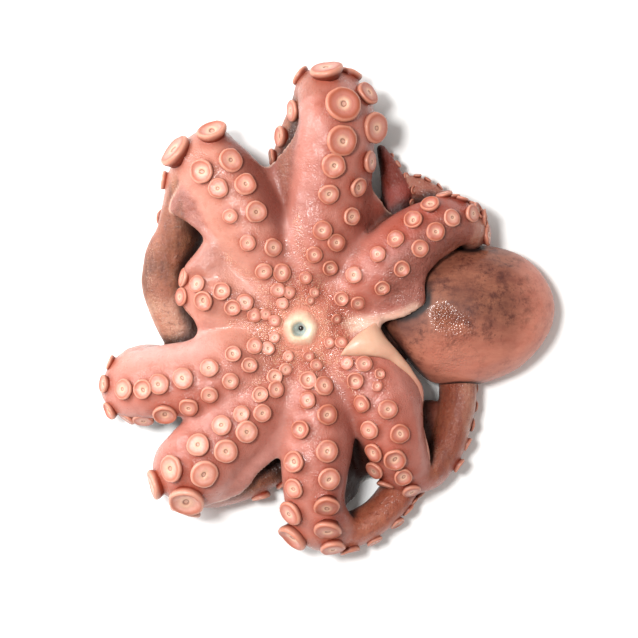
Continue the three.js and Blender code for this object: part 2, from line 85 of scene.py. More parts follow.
# Each arm: its half widths, how far along it folds under, how far its suckered face is turned at
# the mouth, the fold and the tip, the sucker sizes past the fold, how far along those begin, its
# middle line, the suckers seen on its upper face (x, y, radius), and those on the fold (x, y, z,
# radius, bearing and rise of the way they face)
ARMS = [
    dict(name="top", wide=22, fold_at=117, fold_wide=23, taper=0.65, roll=(5, 38, 10),
         late=(8.5, 1.6), hidden_from=150,
         route=[(-13, 1, 34), (-9, 21, 34), (-3, 43, 35), (2, 68, 36), (4.5, 90, 37),
                (5, 106, 36), (4, 117, 26), (-1, 108, 15), (-9, 93, 12), (-15, 73, 10),
                (-5, 56, 9), (15, 50, 9), (30, 51, 10), (37.5, 60, 12), (36.6, 72, 13), (32.8, 84, 12),
                (28.5, 94, 9)],
         seen=[(-10, 7.5, 2.5), (-7, 11.5, 2.7), (-12, 19.5, 3.5), (1.5, 25, 4.1), (-7, 32, 4.4),
               (5, 38.5, 4.9), (-2.5, 45, 5.2), (13, 52.5, 4.9), (1, 64.5, 5.4), (16.5, 69, 5.4),
               (3.5, 80, 6.3), (22.5, 82.5, 5.7), (8, 93.5, 7.9), (8.5, 113.5, 9.3)],
         tipped=[(27.5, 101, 40, 8.2, -14, 44), (22, 121, 36, 6.6, 40, 38), (0, 127, 38, 8.7, 100, 24),
                 (12, 131, 27, 6.5, 80, -5), (-9, 127, 26, 6, 150, -10), (-17, 112, 24, 6, 180, 15),
                 (-23, 98, 20, 5.6, 185, 8), (-27, 87, 17, 4.6, 190, 8), (40, 83, 14, 2.1, 20, 30),
                 (43.5, 76, 14, 2.3, 8, 30), (45, 69, 14, 2.3, -8, 30), (44.5, 62.5, 14, 2.1, -20, 30)]),
    dict(name="upper_right", wide=17, fold_at=104, fold_wide=12.5, taper=0.45, roll=(8, -34, 0),
         late=(4.6, 1.4), hidden_from=132,
         route=[(-5, -2, 34), (6, 7, 34), (20, 18.5, 36), (36, 32.5, 38), (51, 45, 38),
                (64, 52.5, 35), (77, 49, 26), (75, 45.5, 14), (65.5, 55, 11), (54, 66, 11),
                (45.5, 69.5, 10), (42, 60, 9), (40, 49, 7)],
         seen=[(4, -2, 3), (7, 8, 3.8), (16.5, 5.5, 4.1), (14, 21, 4.6), (29.5, 14, 4.1),
               (27, 32.5, 4.4), (40, 24, 4.4), (36.5, 40.5, 4.6), (50, 35, 4.6),
               (46.5, 51, 4.9), (59, 44, 4.9), (56, 59, 4.9), (67.5, 52, 4.9)],
         tipped=[(75, 54, 35, 4.8, -5, 35), (80.5, 56, 31, 4.6, 20, 20), (85, 52.5, 28, 4.6, 10, 15),
                 (87, 43, 24, 5.6, -5, 20), (64, 64, 31, 4.5, 110, 10), (73, 62, 29, 4.5, 80, 5),
                 (79.5, 58, 24, 4.3, 60, -5), (68.5, 63, 29, 4.2, 95, 5), (84, 55, 25, 4.2, 45, 0),
                 (87.5, 48.5, 24, 4.4, 20, 5), (50, 78.5, 14, 2.2, 90, 20), (55.5, 74.5, 14, 2.3, 55, 15),
                 (60, 69, 13, 2.2, 30, 10)]),
    dict(name="lower_right", wide=19, fold_at=96, fold_wide=14, taper=0.08, roll=(0, 18, 75),
         late=(5.4, 2.0), hidden_from=122,
         route=[(-7, -13, 34), (4, -21, 35), (16, -31, 36), (27, -45, 36), (33, -60, 36),
                (37, -73, 34), (40.5, -83, 27), (46, -90, 17), (56, -88, 12), (65, -76, 11),
                (70, -61, 11), (72.5, -45, 10), (71, -27, 8), (67, -12, 7)],
         seen=[(1, -16, 3), (7.5, -16, 3.5), (10.5, -27, 3.8), (20, -27.5, 4.4), (15, -36.5, 4.6),
               (28.5, -33, 3), (27.5, -39.5, 2.7), (18, -49, 4.6), (32.5, -52, 5),
               (22.5, -63.5, 5.2), (39.5, -65.5, 5.4), (25, -76, 5.4), (36.5, -79.5, 6.1)],
         tipped=[(27, -85, 31, 5.2, 227, 42), (41.5, -86, 32, 5, 275, 60), (45, -93, 25, 5, 290, 25),
                 (31, -96, 24, 4.8, 255, 5)]),
    dict(name="bottom", wide=19.5, fold_at=106, fold_wide=15.5, taper=0.32, roll=(0, 4, 110),
         late=(6.6, 1.6), hidden_from=150,
         route=[(-13, -16, 34), (-12, -30, 34), (-8, -48, 35), (-5.5, -67, 36), (-7, -86, 36),
                (-7, -103, 33), (-2, -117, 26), (6, -121, 16), (17, -119, 12), (27.5, -112, 12),
                (37, -102, 11), (44, -91, 8), (52, -78, 6), (56, -62, 6), (58, -48, 5)],
         seen=[(-10.5, -23.5, 3.3), (-6.5, -28.5, 3.3), (-10.5, -36.5, 4.6), (-2, -39.5, 4.9),
               (-11, -47.5, 4.6), (0, -55, 5.4), (-14.5, -63, 4.9), (0, -74.5, 5.9),
               (-18, -80.5, 5.9), (1, -90, 6.1), (-19, -95, 5.6)],
         tipped=[(-1, -101, 42, 7, 268, 30), (-0.5, -113.5, 36, 7.4, 275, 34), (2, -122, 27, 6.8, 275, 24),
                 (-16.5, -107, 36, 7, 215, 34), (-10.5, -115.5, 26, 8.2, 230, 14),
                 (12, -130, 18, 5.2, 280, 10), (25, -124, 14, 4.6, 290, 14), (37, -114, 13, 4.2, 305, 14),
                 (46, -104, 11, 3.8, 320, 12)]),
    dict(name="lower_left", wide=19.5, fold_at=102, fold_wide=21, taper=0.45, roll=(0, 6, 0),
         late=(8.6, 1.6), hidden_from=136,
         route=[(-18, -16, 34), (-26, -28, 34), (-36, -43, 35), (-48, -58, 36), (-61, -70.5, 35),
                (-71, -80, 34), (-77.5, -89, 26), (-73, -93, 15), (-60, -94, 12), (-46, -91, 11),
                (-32, -86, 9), (-20, -75, 8), (-15, -61, 5)],
         seen=[(-21.5, -23, 3), (-23, -30.5, 3.3), (-29, -34.5, 4.4), (-28, -41.5, 4.4),
               (-37, -44, 4.4), (-35.5, -54.5, 4.9), (-47, -54.5, 4.4), (-44, -64.5, 6),
               (-57.5, -60.5, 5.2), (-55.5, -75, 6.5), (-70.5, -71, 6.2), (-67.5, -87.5, 7.3)],
         tipped=[(-79, -83.5, 36, 7.4, 186, 52), (-75.5, -94.5, 32, 9.4, 256, 48),
                 (-92, -93, 26, 8.2, 197, 16), (-78, -107, 20, 8, 250, 6)]),
    dict(name="left", wide=21, fold_at=99, fold_wide=20.5, taper=0.5, roll=(0, 36, 20),
         late=(5.2, 1.4), hidden_from=130,
         route=[(-21, -11, 34), (-36, -18, 34), (-53, -27, 35), (-70, -34, 33), (-87, -36.8, 29),
                (-99, -38, 25), (-107, -37, 18), (-104.5, -32, 12), (-97, -29, 11), (-88, -32, 9),
                (-78, -41, 7), (-70, -49, 5)],
         seen=[(-28.5, -13.5, 3), (-32.5, -19, 3.5), (-40, -17.5, 4.1), (-51.5, -22, 4.1),
               (-43, -28.5, 4.1), (-65, -29.5, 4.9), (-53, -37, 4.4), (-78.5, -35.5, 5.8),
               (-64.5, -44.5, 4.6), (-92, -38.5, 5.6), (-75.5, -51, 5.2), (-101, -41.5, 5),
               (-89, -55, 6.2), (-111.5, -41.5, 5.4)],
         tipped=[(-118.5, -39, 22, 4.8, 180, 22), (-116, -29, 17, 4.4, 160, 0),
                 (-114.5, -49, 20, 5, 208, 25), (-101, -56, 25, 5.6, 262, 34), (-109, -54, 20, 5, 235, 22)]),
    dict(name="short_left", wide=14, fold_at=60, fold_wide=12.5, taper=0.5, roll=(0, 0, 0),
         late=(4.9, 1.4), hidden_from=86,
         route=[(-21, -6, 34), (-33, -1, 34), (-45, 5, 34), (-58, 9.5, 33), (-67, 12, 31),
                (-72, 14, 24), (-65, 12, 14), (-53, 8, 10), (-42, 2, 8), (-34, -2, 5)],
         seen=[(-29, -3.5, 3.3), (-34, 0, 3.3), (-40, -1, 3.8), (-45, 6, 4.4), (-52, 3, 4.4),
               (-58, 12, 4.6), (-68, 7, 5.2), (-71.5, 16.5, 4.6)],
         tipped=[(-79, 20, 31, 5, 172, 24), (-79, 9.5, 31, 5, 186, 34)]),
    dict(name="upper_left", wide=19, fold_at=104, fold_wide=18, taper=0.36, roll=(0, 4, 150),
         late=(5.4, 1.6), hidden_from=140,
         route=[(-20, -2, 34), (-26, 13, 34), (-34, 31, 35), (-43, 49, 37), (-52, 67, 37),
                (-61, 80, 35), (-69, 86, 27), (-75, 77, 19), (-78, 61, 15), (-81, 45, 14),
                (-87.5, 30, 13), (-89, 15, 13), (-85, 1, 12.5), (-79, -13, 11), (-69, -23, 9),
                (-56, -28, 7), (-45, -28, 4)],
         seen=[(-24.5, 5.5, 3.3), (-27, 13, 3.8), (-21, 11.5, 3.3), (-35, 23, 4.6),
               (-24, 22.5, 4.9), (-43.5, 38.5, 4.4), (-29.5, 36, 4.9), (-53, 53, 4.1),
               (-39, 55.5, 5.7), (-59.5, 68, 5.3), (-44.5, 70, 6), (-69, 77.5, 6.6),
               (-52.5, 83.5, 6.4)],
         tipped=[(-62, 94, 35, 7.8, 108, 24), (-76.5, 84, 30, 9.2, 140, 16),
                 (-84, 73, 20, 5, 170, 0)]),
]

# Skins between neighbouring arms: how far out along each they reach, and the free edge between
WEBS = [
    dict(edges=("top", "upper_right"), reach=(74, 80), sag=6,
         margin=[(29, 63, 25), (33, 57, 21), (38, 54.5, 21), (43, 57, 26)]),
    dict(edges=("lower_right", "bottom"), reach=(84, 100), sag=6,
         margin=[(28, -88, 15), (23, -91, 6), (18.5, -94, 3), (16.5, -100, 3), (11, -106, 11)]),
    dict(edges=("bottom", "lower_left"), reach=(72, 92), sag=1,
         margin=[(-24, -76.5, 35), (-32, -82.5, 34), (-40, -89.5, 33), (-44, -95.5, 31), (-51, -101, 29),
                 (-60, -103, 28)]),
    dict(edges=("lower_left", "left"), reach=(72, 62), sag=14,
         margin=[(-69, -59, 27), (-72, -55, 22), (-73, -52, 27)]),
    dict(edges=("left", "short_left"), reach=(62, 60), sag=3,
         margin=[(-71, -18, 31), (-70, -10, 30), (-72, -3, 30)]),
    dict(edges=("short_left", "upper_left"), reach=(62, 100), sag=3,
         margin=[(-78, 23, 31), (-74, 28.5, 34), (-69.5, 34, 35), (-66.5, 40.5, 36), (-71, 47, 35),
                 (-80, 53, 32), (-87, 57, 29)]),
    dict(edges=("upper_left", "top"), reach=(96, 108), sag=5,
         margin=[(-44, 86, 33), (-38, 81.5, 31), (-32, 81, 31), (-25.5, 88, 33)]),
]

# The web that is torn by the mantle: its free edge, and its other half, folded back
TORN_EDGE = [(8, -7, 38), (29, -5, 39.5), (40, -2.5, 41), (48, 1, 42), (53.5, 6, 42.5),
             (52.5, 13, 42), (53, 20, 41), (57.5, 26, 39), (65, 32, 36), (73, 38, 31)]
TORN_REACH = 100
FOLDED_OUTER = [(28.5, -3.5, 41.5), (29.5, -9, 41.5), (37, -20, 40.5), (42.8, -28, 39),
                (47, -34.5, 37), (51, -41, 35), (51.6, -48, 33.5), (51, -59, 32), (54, -72, 30),
                (56, -83, 27)]
FOLDED_MIDDLE = [(14, -13.5, 45), (20, -13.5, 46), (32, -19.5, 45.5), (39, -25.5, 43.5),
                 (44.5, -31.5, 40.5), (50.5, -41, 37), (51.1, -48, 35), (50.4, -59, 33.5),
                 (53.4, -72, 31.5), (55.4, -83, 28.5)]
FOLDED_INNER = [(7, -23, 44.5), (13, -23.7, 45), (27.5, -23.5, 45), (34, -25.5, 43),
                (41, -31, 40), (49.8, -41, 35.5), (50.4, -48, 33.7), (49.8, -59, 32),
                (52.8, -72, 30), (54.8, -83, 27.5)]
STUMP_REACH = 90

# Creases between the arms that catch the light, and a line on the upper left arm's back, in the plan; there
# the skin is glossier and pale glint specks are painted
GLINT_LINES = [[(-17.5, 56, 0), (-15.5, 42, 0), (-13, 26, 0)], [(-57, 32, 0), (-46, 22, 0), (-34, 11, 0)],
               [(-52, -5, 0), (-38, -8, 0), (-27, -11, 0)], [(-45, -41, 0), (-36, -36, 0), (-27, -32, 0)],
               [(6, -32, 0), (13, -39, 0), (19, -47, 0)]]
BACK_GLINT = [(-95, 44, 0), (-98, 30, 0), (-97, 14, 0), (-92, -2, 0), (-86, -12, 0)]

# Flanks in shade: the arm, the side of it and how much
SHADED_FLANKS = [("upper_left", 1, 0.8), ("bottom", -1, 0.5), ("top", 1, 0.45), ("lower_right", 1, 0.3)]
# How much darker an arm's suckers are than most
SUCKER_TONES = dict(lower_left=-0.42, left=-0.05, bottom=0.3, top=0.25, short_left=0.15, lower_right=0.35,
                    upper_right=0.4)
# Patches of the mantle that shine: their middle, inner and outer size, stretch and share
MANTLE_GLINTS = [(62.5, -2, 5, 9, 1, 1), (71, -9, 6, 13, 1, 0.6), (64, -25, 6, 13, 0.6, 0.5)]

CROWN = dict(centre=(-14.5, -8, 30), radii=(30, 30, 13))
HEAD = dict(centre=(14, -12, 13), radii=(36, 24, 14.5))
MANTLE = dict(centre=(76, -1, 12), radii=(50, 39, 33), blunt=2.5, drift=3.5)
COLLAR_FACING = np.array([-0.78, -0.624, 0.0])
COLLAR_AT = -18.6

# The moulding grid, and how widely forms run into each other
VOXEL = 1.5
GRID_LOW = np.array([-90, -96, -4])
GRID_SIZE = np.array([180, 192, 46])
BAND = 9
SOFT_ARMS = 7.0
SOFT_WEBS = 5.0
SOFT_CONTACT = 1.6
SOFT_STALKS = 2.6


def ease(t):
    return t * t * (3 - 2 * t)


def mix(a, b, t):
    return a + (b - a) * t


def step(low, high, value):
    """0 below low, 1 above high, smooth between."""
    return ease(np.clip((value - low) / (high - low), 0, 1))


def unit(v):
    return v / np.linalg.norm(v, axis=-1, keepdims=True)


def smooth_path(route, per_span):
    """Points of a centripetal Catmull-Rom curve through the route, and their tangents."""
    route = np.array(route, float)
    ends = np.vstack([2 * route[0] - route[1], route, 2 * route[-1] - route[-2]])
    points = []
    for i in range(len(route) - 1):
        p = ends[i:i + 4]
        gaps = np.sum(np.diff(p, axis=0) ** 2, axis=1) ** 0.25
        t1 = (p[1] - p[0]) / gaps[0] - (p[2] - p[0]) / (gaps[0] + gaps[1]) + (p[2] - p[1]) / gaps[1]
        t2 = (p[2] - p[1]) / gaps[1] - (p[3] - p[1]) / (gaps[1] + gaps[2]) + (p[3] - p[2]) / gaps[2]
        t1, t2 = t1 * gaps[1], t2 * gaps[1]
        w = np.arange(per_span)[:, None] / per_span
        points.append(p[1] + t1 * w + (3 * (p[2] - p[1]) - 2 * t1 - t2) * w ** 2
                      + (2 * (p[1] - p[2]) + t1 + t2) * w ** 3)
    points = np.vstack(points + [route[-1:]])
    return points, unit(np.gradient(points, axis=0))


def along_path(route, t):
    """Points at shares t of a smooth path, t of any shape."""
    path, _ = smooth_path(route, 12)
    places = np.linspace(0, 1, len(path))
    line = np.stack([np.interp(t.reshape(-1), places, path[:, k]) for k in range(3)], -1)
    return line.reshape(t.shape + (3,))


def turned(vector, axis, degrees):
    """A vector turned about a unit axis that it is square to."""
    angle = math.radians(degrees)
    return vector * math.cos(angle) + np.cross(axis, vector) * math.sin(angle)


def half_width(arm, s, length):
    if s < FULL_WIDTH_AT:
        return mix(ROOT_HALF_WIDTH, arm["wide"], math.sin(math.pi / 2 * s / FULL_WIDTH_AT))
    if s < arm["fold_at"]:
        along = (s - FULL_WIDTH_AT) / (arm["fold_at"] - FULL_WIDTH_AT)
        return mix(arm["wide"], arm["fold_wide"], ease(along))
    left = max(0.0, 1 - (s - arm["fold_at"]) / (length - arm["fold_at"]))
    return TIP_HALF_WIDTH + (arm["fold_wide"] - TIP_HALF_WIDTH) * left ** arm["taper"]


class Stations:
    """An arm's middle line with, at each place, the way its suckers face and its half sizes."""

    def __init__(self, arm):
        self.arm = arm
        self.point, self.tangent = smooth_path(arm["route"], PLACES_PER_SPAN)
        steps = np.linalg.norm(np.diff(self.point, axis=0), axis=1)
        self.s = np.concatenate([[0], np.cumsum(steps)])
        self.length = self.s[-1]
        at_mouth, at_fold, at_tip = arm["roll"]
        carried = np.array([0.0, 0.0, 1.0])
        normals = []
        for s, tangent in zip(self.s, self.tangent):
            carried = unit(carried - tangent * carried.dot(tangent))
            if s < arm["fold_at"]:
                degrees = mix(at_mouth, at_fold, s / arm["fold_at"])
            else:
                degrees = mix(at_fold, at_tip, (s - arm["fold_at"]) / (self.length - arm["fold_at"]))
            normals.append(turned(carried, tangent, degrees))
        self.normal = np.array(normals)
        self.side = np.cross(self.tangent, self.normal)
        self.a = np.array([half_width(arm, s, self.length) for s in self.s])
        self.b = self.a * THICKNESS_SHARE
        oral = self.point + self.normal * self.b[:, None]
        self.face = np.concatenate([[0], np.cumsum(np.linalg.norm(np.diff(oral, axis=0), axis=1))])
        self.fold = int(np.searchsorted(self.s, arm["fold_at"]))

    def at(self, face):
        """The place at a distance along the suckered face."""
        one = {name: np.interp(face, self.face, getattr(self, name)) for name in ("s", "a", "b")}
        for name in ("point", "normal", "side"):
            rows = getattr(self, name)
            one[name] = np.array([np.interp(face, self.face, rows[:, k]) for k in range(3)])
        one["normal"], one["side"] = unit(one["normal"]), unit(one["side"])
        return one


def facing(bearing, rise):
    """A unit vector from its bearing about +Z and its rise above the floor, in degrees."""
    b, r = math.radians(bearing), math.radians(rise)
    return np.array([math.cos(b) * math.cos(r), math.sin(b) * math.cos(r), math.sin(r)])


def seen_sucker(stations, x, y, radius):
    """A sucker on the upper face of an arm, found straight below the place it is seen at."""
    limit = stations.fold + 4
    oral = stations.point[:limit] + stations.normal[:limit] * stations.b[:limit, None]
    i = int(np.argmin(np.hypot(oral[:, 0] - x, oral[:, 1] - y)))
    a, b = stations.a[i], stations.b[i]
    across = unit(np.array([stations.tangent[i][1], -stations.tangent[i][0], 0.0]))
    off = (np.array([x, y, 0.0]) - stations.point[i]).dot(across)
    u, w = a * stations.side[i].dot(across), b * stations.normal[i].dot(across)
    reach = math.acos(np.clip(off / math.hypot(u, w), -0.97, 0.97))
    best = None
    for turn in (math.atan2(w, u) + reach, math.atan2(w, u) - reach):
        rim = stations.side[i] * a * math.cos(turn) + stations.normal[i] * b * math.sin(turn)
        out = unit(stations.side[i] * math.cos(turn) / a + stations.normal[i] * math.sin(turn) / b)
        if best is None or rim[2] > best[0][2]:
            best = (rim, out)
    base = stations.point[i] + best[0]
    lean = best[1] * 0.38 * radius
    return dict(base=np.array([x - lean[0], y - lean[1], base[2]]), out=best[1], radius=radius, own=SEEN)


def tipped_sucker(x, y, z, radius, bearing, rise):
    return dict(base=np.array([x, y, z], float), out=facing(bearing, rise), radius=radius, own=TIPPED)


def late_suckers(stations):
    """Two rows of suckers, one to each side in turn, on the part of an arm that is folded under."""
    arm = stations.arm
    at_fold, at_tip = arm["late"]
    face = float(np.interp(arm["hidden_from"], stations.s, stations.face))
    turn, found = 1, []
    while face < stations.face[-1] - 6:
        place = stations.at(face)
        past = (place["s"] - arm["fold_at"]) / (stations.length - arm["fold_at"])
        radius = mix(at_fold, at_tip, past)
        lateral = turn * min(SUCKER_OFFSET * radius, ROW_REACH * place["a"])
        rise = place["b"] * math.sqrt(1 - (lateral / place["a"]) ** 2)
        base = place["point"] + place["side"] * lateral + place["normal"] * rise
        out = unit(place["side"] * lateral / place["a"] ** 2
                   + place["normal"] * rise / place["b"] ** 2)
        found.append(dict(base=base, out=out, radius=radius, own=LATE))
        face += SUCKER_SPACING * radius
        turn = -turn
    return found


# Forms as closed meshes of points, quads and triangles, in millimetres
def tube(stations, first, last, sides=28):
    """The arm's rounded section carried from one station to another, with its ends closed."""
    angle = np.arange(sides) * 2 * math.pi / sides
    rows = []
    for i in range(first, last + 1):
        ring = (stations.side[i] * np.cos(angle)[:, None] * stations.a[i]
                + stations.normal[i] * np.sin(angle)[:, None] * stations.b[i])
        rows.append(stations.point[i] + ring)
    return closed_rows(np.array(rows))


def closed_rows(rows):
    """A closed form from rings of points: quads between the rings and a fan on each end."""
    count, sides = rows.shape[:2]
    points = np.vstack([rows.reshape(-1, 3), rows[0].mean(0)[None], rows[-1].mean(0)[None]])
    index = np.arange(count * sides).reshape(count, sides)
    ahead = np.roll(index, -1, axis=1)
    quads = np.stack([index[:-1], ahead[:-1], ahead[1:], index[1:]], -1).reshape(-1, 4)
    start, end = count * sides, count * sides + 1
    fan_a = np.stack([np.full(sides, start), ahead[0], index[0]], -1)
    fan_b = np.stack([np.full(sides, end), index[-1], ahead[-1]], -1)
    return points, quads, np.vstack([fan_a, fan_b])


def outside(quads, fans):
    """All the faces of a closed form, turned to face the other way."""
    return [face[::-1] for face in quads.tolist() + fans.tolist()]


def sheet_form(middle, thickness, along=40, across=24, rim=0.35):
    """A skin about a patch: middle(t, v) gives its middle surface."""
    t, v = np.meshgrid(np.linspace(0, 1, along), np.linspace(0, 1, across), indexing="ij")
    centre = middle(t, v)
    up = unit(np.cross(np.gradient(centre, axis=1), np.gradient(centre, axis=0)) + 1e-9)
    edge = np.minimum(np.minimum(t, 1 - t) * along, np.minimum(v, 1 - v) * across)
    half = 0.5 * thickness * np.clip(rim + edge * 0.4, rim, 1)[..., None]
    points = np.vstack([(centre + up * half).reshape(-1, 3), (centre - up * half).reshape(-1, 3)])
    i = np.arange(along * across).reshape(along, across)
    j = i + along * across
    faces = [np.stack([i[:-1, :-1], i[:-1, 1:], i[1:, 1:], i[1:, :-1]], -1).reshape(-1, 4),
             np.stack([j[:-1, :-1], j[1:, :-1], j[1:, 1:], j[:-1, 1:]], -1).reshape(-1, 4)]
    for row in (i[0], i[-1][::-1], i[:, -1], i[:, 0][::-1]):
        below = row + along * across
        faces.append(np.stack([row[1:], row[:-1], below[:-1], below[1:]], -1))
    return points, np.vstack(faces), np.zeros((0, 3), int)


def arm_edge(stations, distance, turn):
    """The line on an arm's flank where a web leaves it, at an array of distances."""
    rows = (stations.point + stations.side * (turn * 0.72 * stations.a)[:, None]
            + stations.normal * (0.35 * stations.b)[:, None])
    flat = distance.reshape(-1)
    line = np.stack([np.interp(flat, stations.s, rows[:, k]) for k in range(3)], -1)
    return line.reshape(distance.shape + (3,))


def web_line(web, arms):
    """The free edge of a web, from one arm's flank to the next one's."""
    p, q = (arms[name] for name in web["edges"])
    reach_p, reach_q = (np.array(float(reach)) for reach in web["reach"])
    return [tuple(arm_edge(p, reach_p, 1)), *web["margin"], tuple(arm_edge(q, reach_q, -1))]


def web_form(web, arms):
    p, q = (arms[name] for name in web["edges"])
    reach_p, reach_q = web["reach"]
    margin = web_line(web, arms)

    def middle(t, v):
        start = arm_edge(p, mix(WEB_START, reach_p, t), 1)
        end = arm_edge(q, mix(WEB_START, reach_q, t), -1)
        straight = mix(start, end, v[..., None])
        last = mix(start[-1:], end[-1:], v[-1:, :, None])
        hung = straight + (along_path(margin, v) - last) * (t ** 2)[..., None]
        hung[..., 2] -= web["sag"] * np.sin(math.pi * v) * np.sin(math.pi * t)
        return hung

    return sheet_form(middle, WEB_THICKNESS)


def torn_form(stations, reach, turn, edge):
    """One half of the torn web, from an arm's flank to its own free edge."""

    def middle(t, v):
        start = arm_edge(stations, mix(WEB_START, reach, t), turn)
        patch = mix(start, along_path(edge, t), v[..., None])
        return patch if turn > 0 else patch[:, ::-1]

    return sheet_form(middle, WEB_THICKNESS)


# The moulding grid
def voxels(form):
    """Signed distances to a form on the whole grid, in millimetres, held within the band."""
    points, quads, triangles = form
    transform = openvdb.createLinearTransform(voxelSize=VOXEL)
    kinds = dict(quads=quads.astype(np.uint32))
    if len(triangles):
        kinds["triangles"] = triangles.astype(np.uint32)
    grid = openvdb.FloatGrid.createLevelSetFromPolygons(
        points.astype(np.float32), transform=transform, halfWidth=BAND, **kinds)
    field = np.empty(tuple(GRID_SIZE), np.float32)
    grid.copyToArray(field, ijk=tuple(int(n) for n in GRID_LOW))
    return field


def joined(a, b, width):
    """Both forms at once, run into each other over a width."""
    share = np.clip(0.5 + 0.5 * (b - a) / width, 0, 1)
    return mix(b, a, share) - width * share * (1 - share)


def grid_points():
    axes = [(GRID_LOW[k] + np.arange(GRID_SIZE[k])) * VOXEL for k in range(3)]
    return np.stack(np.meshgrid(*axes, indexing="ij"), -1)


def egg(points, centre, radii):
    """Distance, good near the surface, to an ellipsoid."""
    scaled = (points - np.array(centre)) / np.array(radii)
    size = np.linalg.norm(scaled, axis=-1)
    slope = np.linalg.norm(scaled / np.array(radii), axis=-1)
    return (size * (size - 1) / np.maximum(slope, 1e-6)).astype(np.float32)


def add_stalk(field, sucker, points):
    """The flesh swells up under a sucker as a short stalk."""
    softness = min(SOFT_STALKS, 0.5 * sucker["radius"])
    reach = sucker["radius"] + SOFT_STALKS + 3
    middle = sucker["base"] - sucker["out"] * 0.45 * sucker["radius"]
    low = np.maximum(((middle - reach) / VOXEL - GRID_LOW).astype(int), 0)
    high = np.minimum(((middle + reach) / VOXEL - GRID_LOW).astype(int) + 2, GRID_SIZE)
    if (high <= low).any():
        return
    block = tuple(slice(a, b) for a, b in zip(low, high))
    offset = points[block] - middle
    up = offset @ sucker["out"]
    away = np.linalg.norm(offset - up[..., None] * sucker["out"], axis=-1)
    side = away - 0.78 * sucker["radius"]
    cap = np.abs(up) - 0.42 * sucker["radius"]
    inside = np.minimum(np.maximum(side, cap), 0)
    outside = np.hypot(np.maximum(side, 0), np.maximum(cap, 0))
    field[block] = joined(field[block], (inside + outside).astype(np.float32), softness)


def sampled(field, points):
    """A field's value at points, between its voxels."""
    place = np.clip(points / VOXEL - GRID_LOW, 0, GRID_SIZE - 1.001)
    corner = place.astype(int)
    share = place - corner
    total = np.zeros(len(points))
    for corner_step in np.ndindex(2, 2, 2):
        weight = np.prod(np.where(corner_step, share, 1 - share), axis=1)
        total += weight * field[tuple((corner + corner_step).T)]
    return total


def slope_at(field, points, reach=1.5):
    """The way a field grows at points: away from the flesh."""
    pushes = [sampled(field, points + d) - sampled(field, points - d) for d in np.eye(3) * reach]
    return unit(np.stack(pushes, -1) + 1e-6)


def blurred(field, times):
    """A field smoothed over its neighbours."""
    for _ in range(times):
        for axis in range(3):
            field = (np.roll(field, 1, axis) + 2 * field + np.roll(field, -1, axis)) / 4
    return field


def settle(suckers, field):
    """Moves suckers to the flesh's surface, and turns them part of the way square to it."""
    base = np.array([one["base"] for one in suckers])
    out = np.array([one["out"] for one in suckers])
    own = np.array([one["own"] for one in suckers])[:, None]
    soft = blurred(field, 3)
    for _ in range(6):
        way = slope_at(soft, base, 2.5)
        turn = unit(mix(way, out, np.where(own < 0.9, 0.75, 0.9)))
        base = base - turn * sampled(field, base)[:, None]
    out = unit(mix(slope_at(soft, base, 4), out, own))
    for one, b, o in zip(suckers, base, out):
        one["base"], one["out"] = b, o


def mould(arms):
    """The whole flesh without the mantle, and the separate fields that the colours need."""
    points = grid_points()
    spread = egg(points, **CROWN)
    folded = None
    for stations in arms.values():
        fold, last = stations.fold, len(stations.s) - 1
        spread = joined(spread, voxels(tube(stations, 0, fold + 12)), SOFT_ARMS)
        back = voxels(tube(stations, fold - 6, last))
        folded = back if folded is None else joined(folded, back, SOFT_CONTACT)
    limbs = spread.copy()
    for web in WEBS:
        spread = joined(spread, voxels(web_form(web, arms)), SOFT_WEBS)
    torn = torn_form(arms["upper_right"], TORN_REACH, 1, TORN_EDGE)
    stump = torn_form(arms["lower_right"], STUMP_REACH, -1, FOLDED_OUTER)
    spread = joined(spread, voxels(torn), SOFT_WEBS)
    spread = joined(spread, voxels(stump), SOFT_WEBS)
    flesh = joined(spread, folded, SOFT_CONTACT)
    head = egg(points, **HEAD)
    flesh = joined(flesh, head, SOFT_CONTACT * 2)
    return flesh, dict(limbs=limbs, spread=spread, folded=folded, head=head, torn=voxels(torn),
                       stump=voxels(stump), web_top=voxels(web_form(WEBS[-1], arms)))


def on_floor(field, points):
    return -joined(-field, points[..., 2].astype(np.float32), SOFT_CONTACT)


def skin_of(field):
    """Points and quads of the surface where a field is nought, faces outward."""
    grid = openvdb.FloatGrid(float(BAND * VOXEL))
    grid.copyFromArray(field, ijk=tuple(int(n) for n in GRID_LOW))
    grid.transform = openvdb.createLinearTransform(voxelSize=VOXEL)
    points, quads = grid.convertToQuads(isovalue=0.0)
    corners = points[quads.astype(int)]
    normals = np.cross(corners[:, 2] - corners[:, 0], corners[:, 3] - corners[:, 1])
    if np.sum(normals * corners.mean(1)) < 0:
        quads = quads[:, ::-1]
    return points.astype(float), quads.astype(int)


def wobble(points, size, seed):
    """Smooth seeded noise between -1 and 1 at points, in three directions."""
    shift = Vector((seed * 7.3, seed * 3.1, seed * 11.7))
    return np.array([noise.noise_vector(Vector(p) / size + shift) for p in points])


def unevenness(points):
    """The flesh is never quite even: the points a little moved."""
    return points + wobble(points, 14, 1) * 0.55 + wobble(points, 5, 4) * 0.2


def new_mesh(name, points, faces, material, **attributes):
    """A smooth-shaded mesh from points in millimetres, with a value of each kind a point."""
    mesh = bpy.data.meshes.new(name)
    mesh.from_pydata((np.asarray(points) * MM).tolist(), [], [list(map(int, f)) for f in faces])
    mesh.polygons.foreach_set("use_smooth", [True] * len(mesh.polygons))
    for key, values in attributes.items():
        kind = "FLOAT_VECTOR" if np.ndim(values) == 2 else "FLOAT"
        layer = mesh.attributes.new(key, kind, "POINT")
        field = "vector" if kind == "FLOAT_VECTOR" else "value"
        layer.data.foreach_set(field, np.asarray(values, np.float32).reshape(-1))
    if material:
        mesh.materials.append(material)
    return mesh


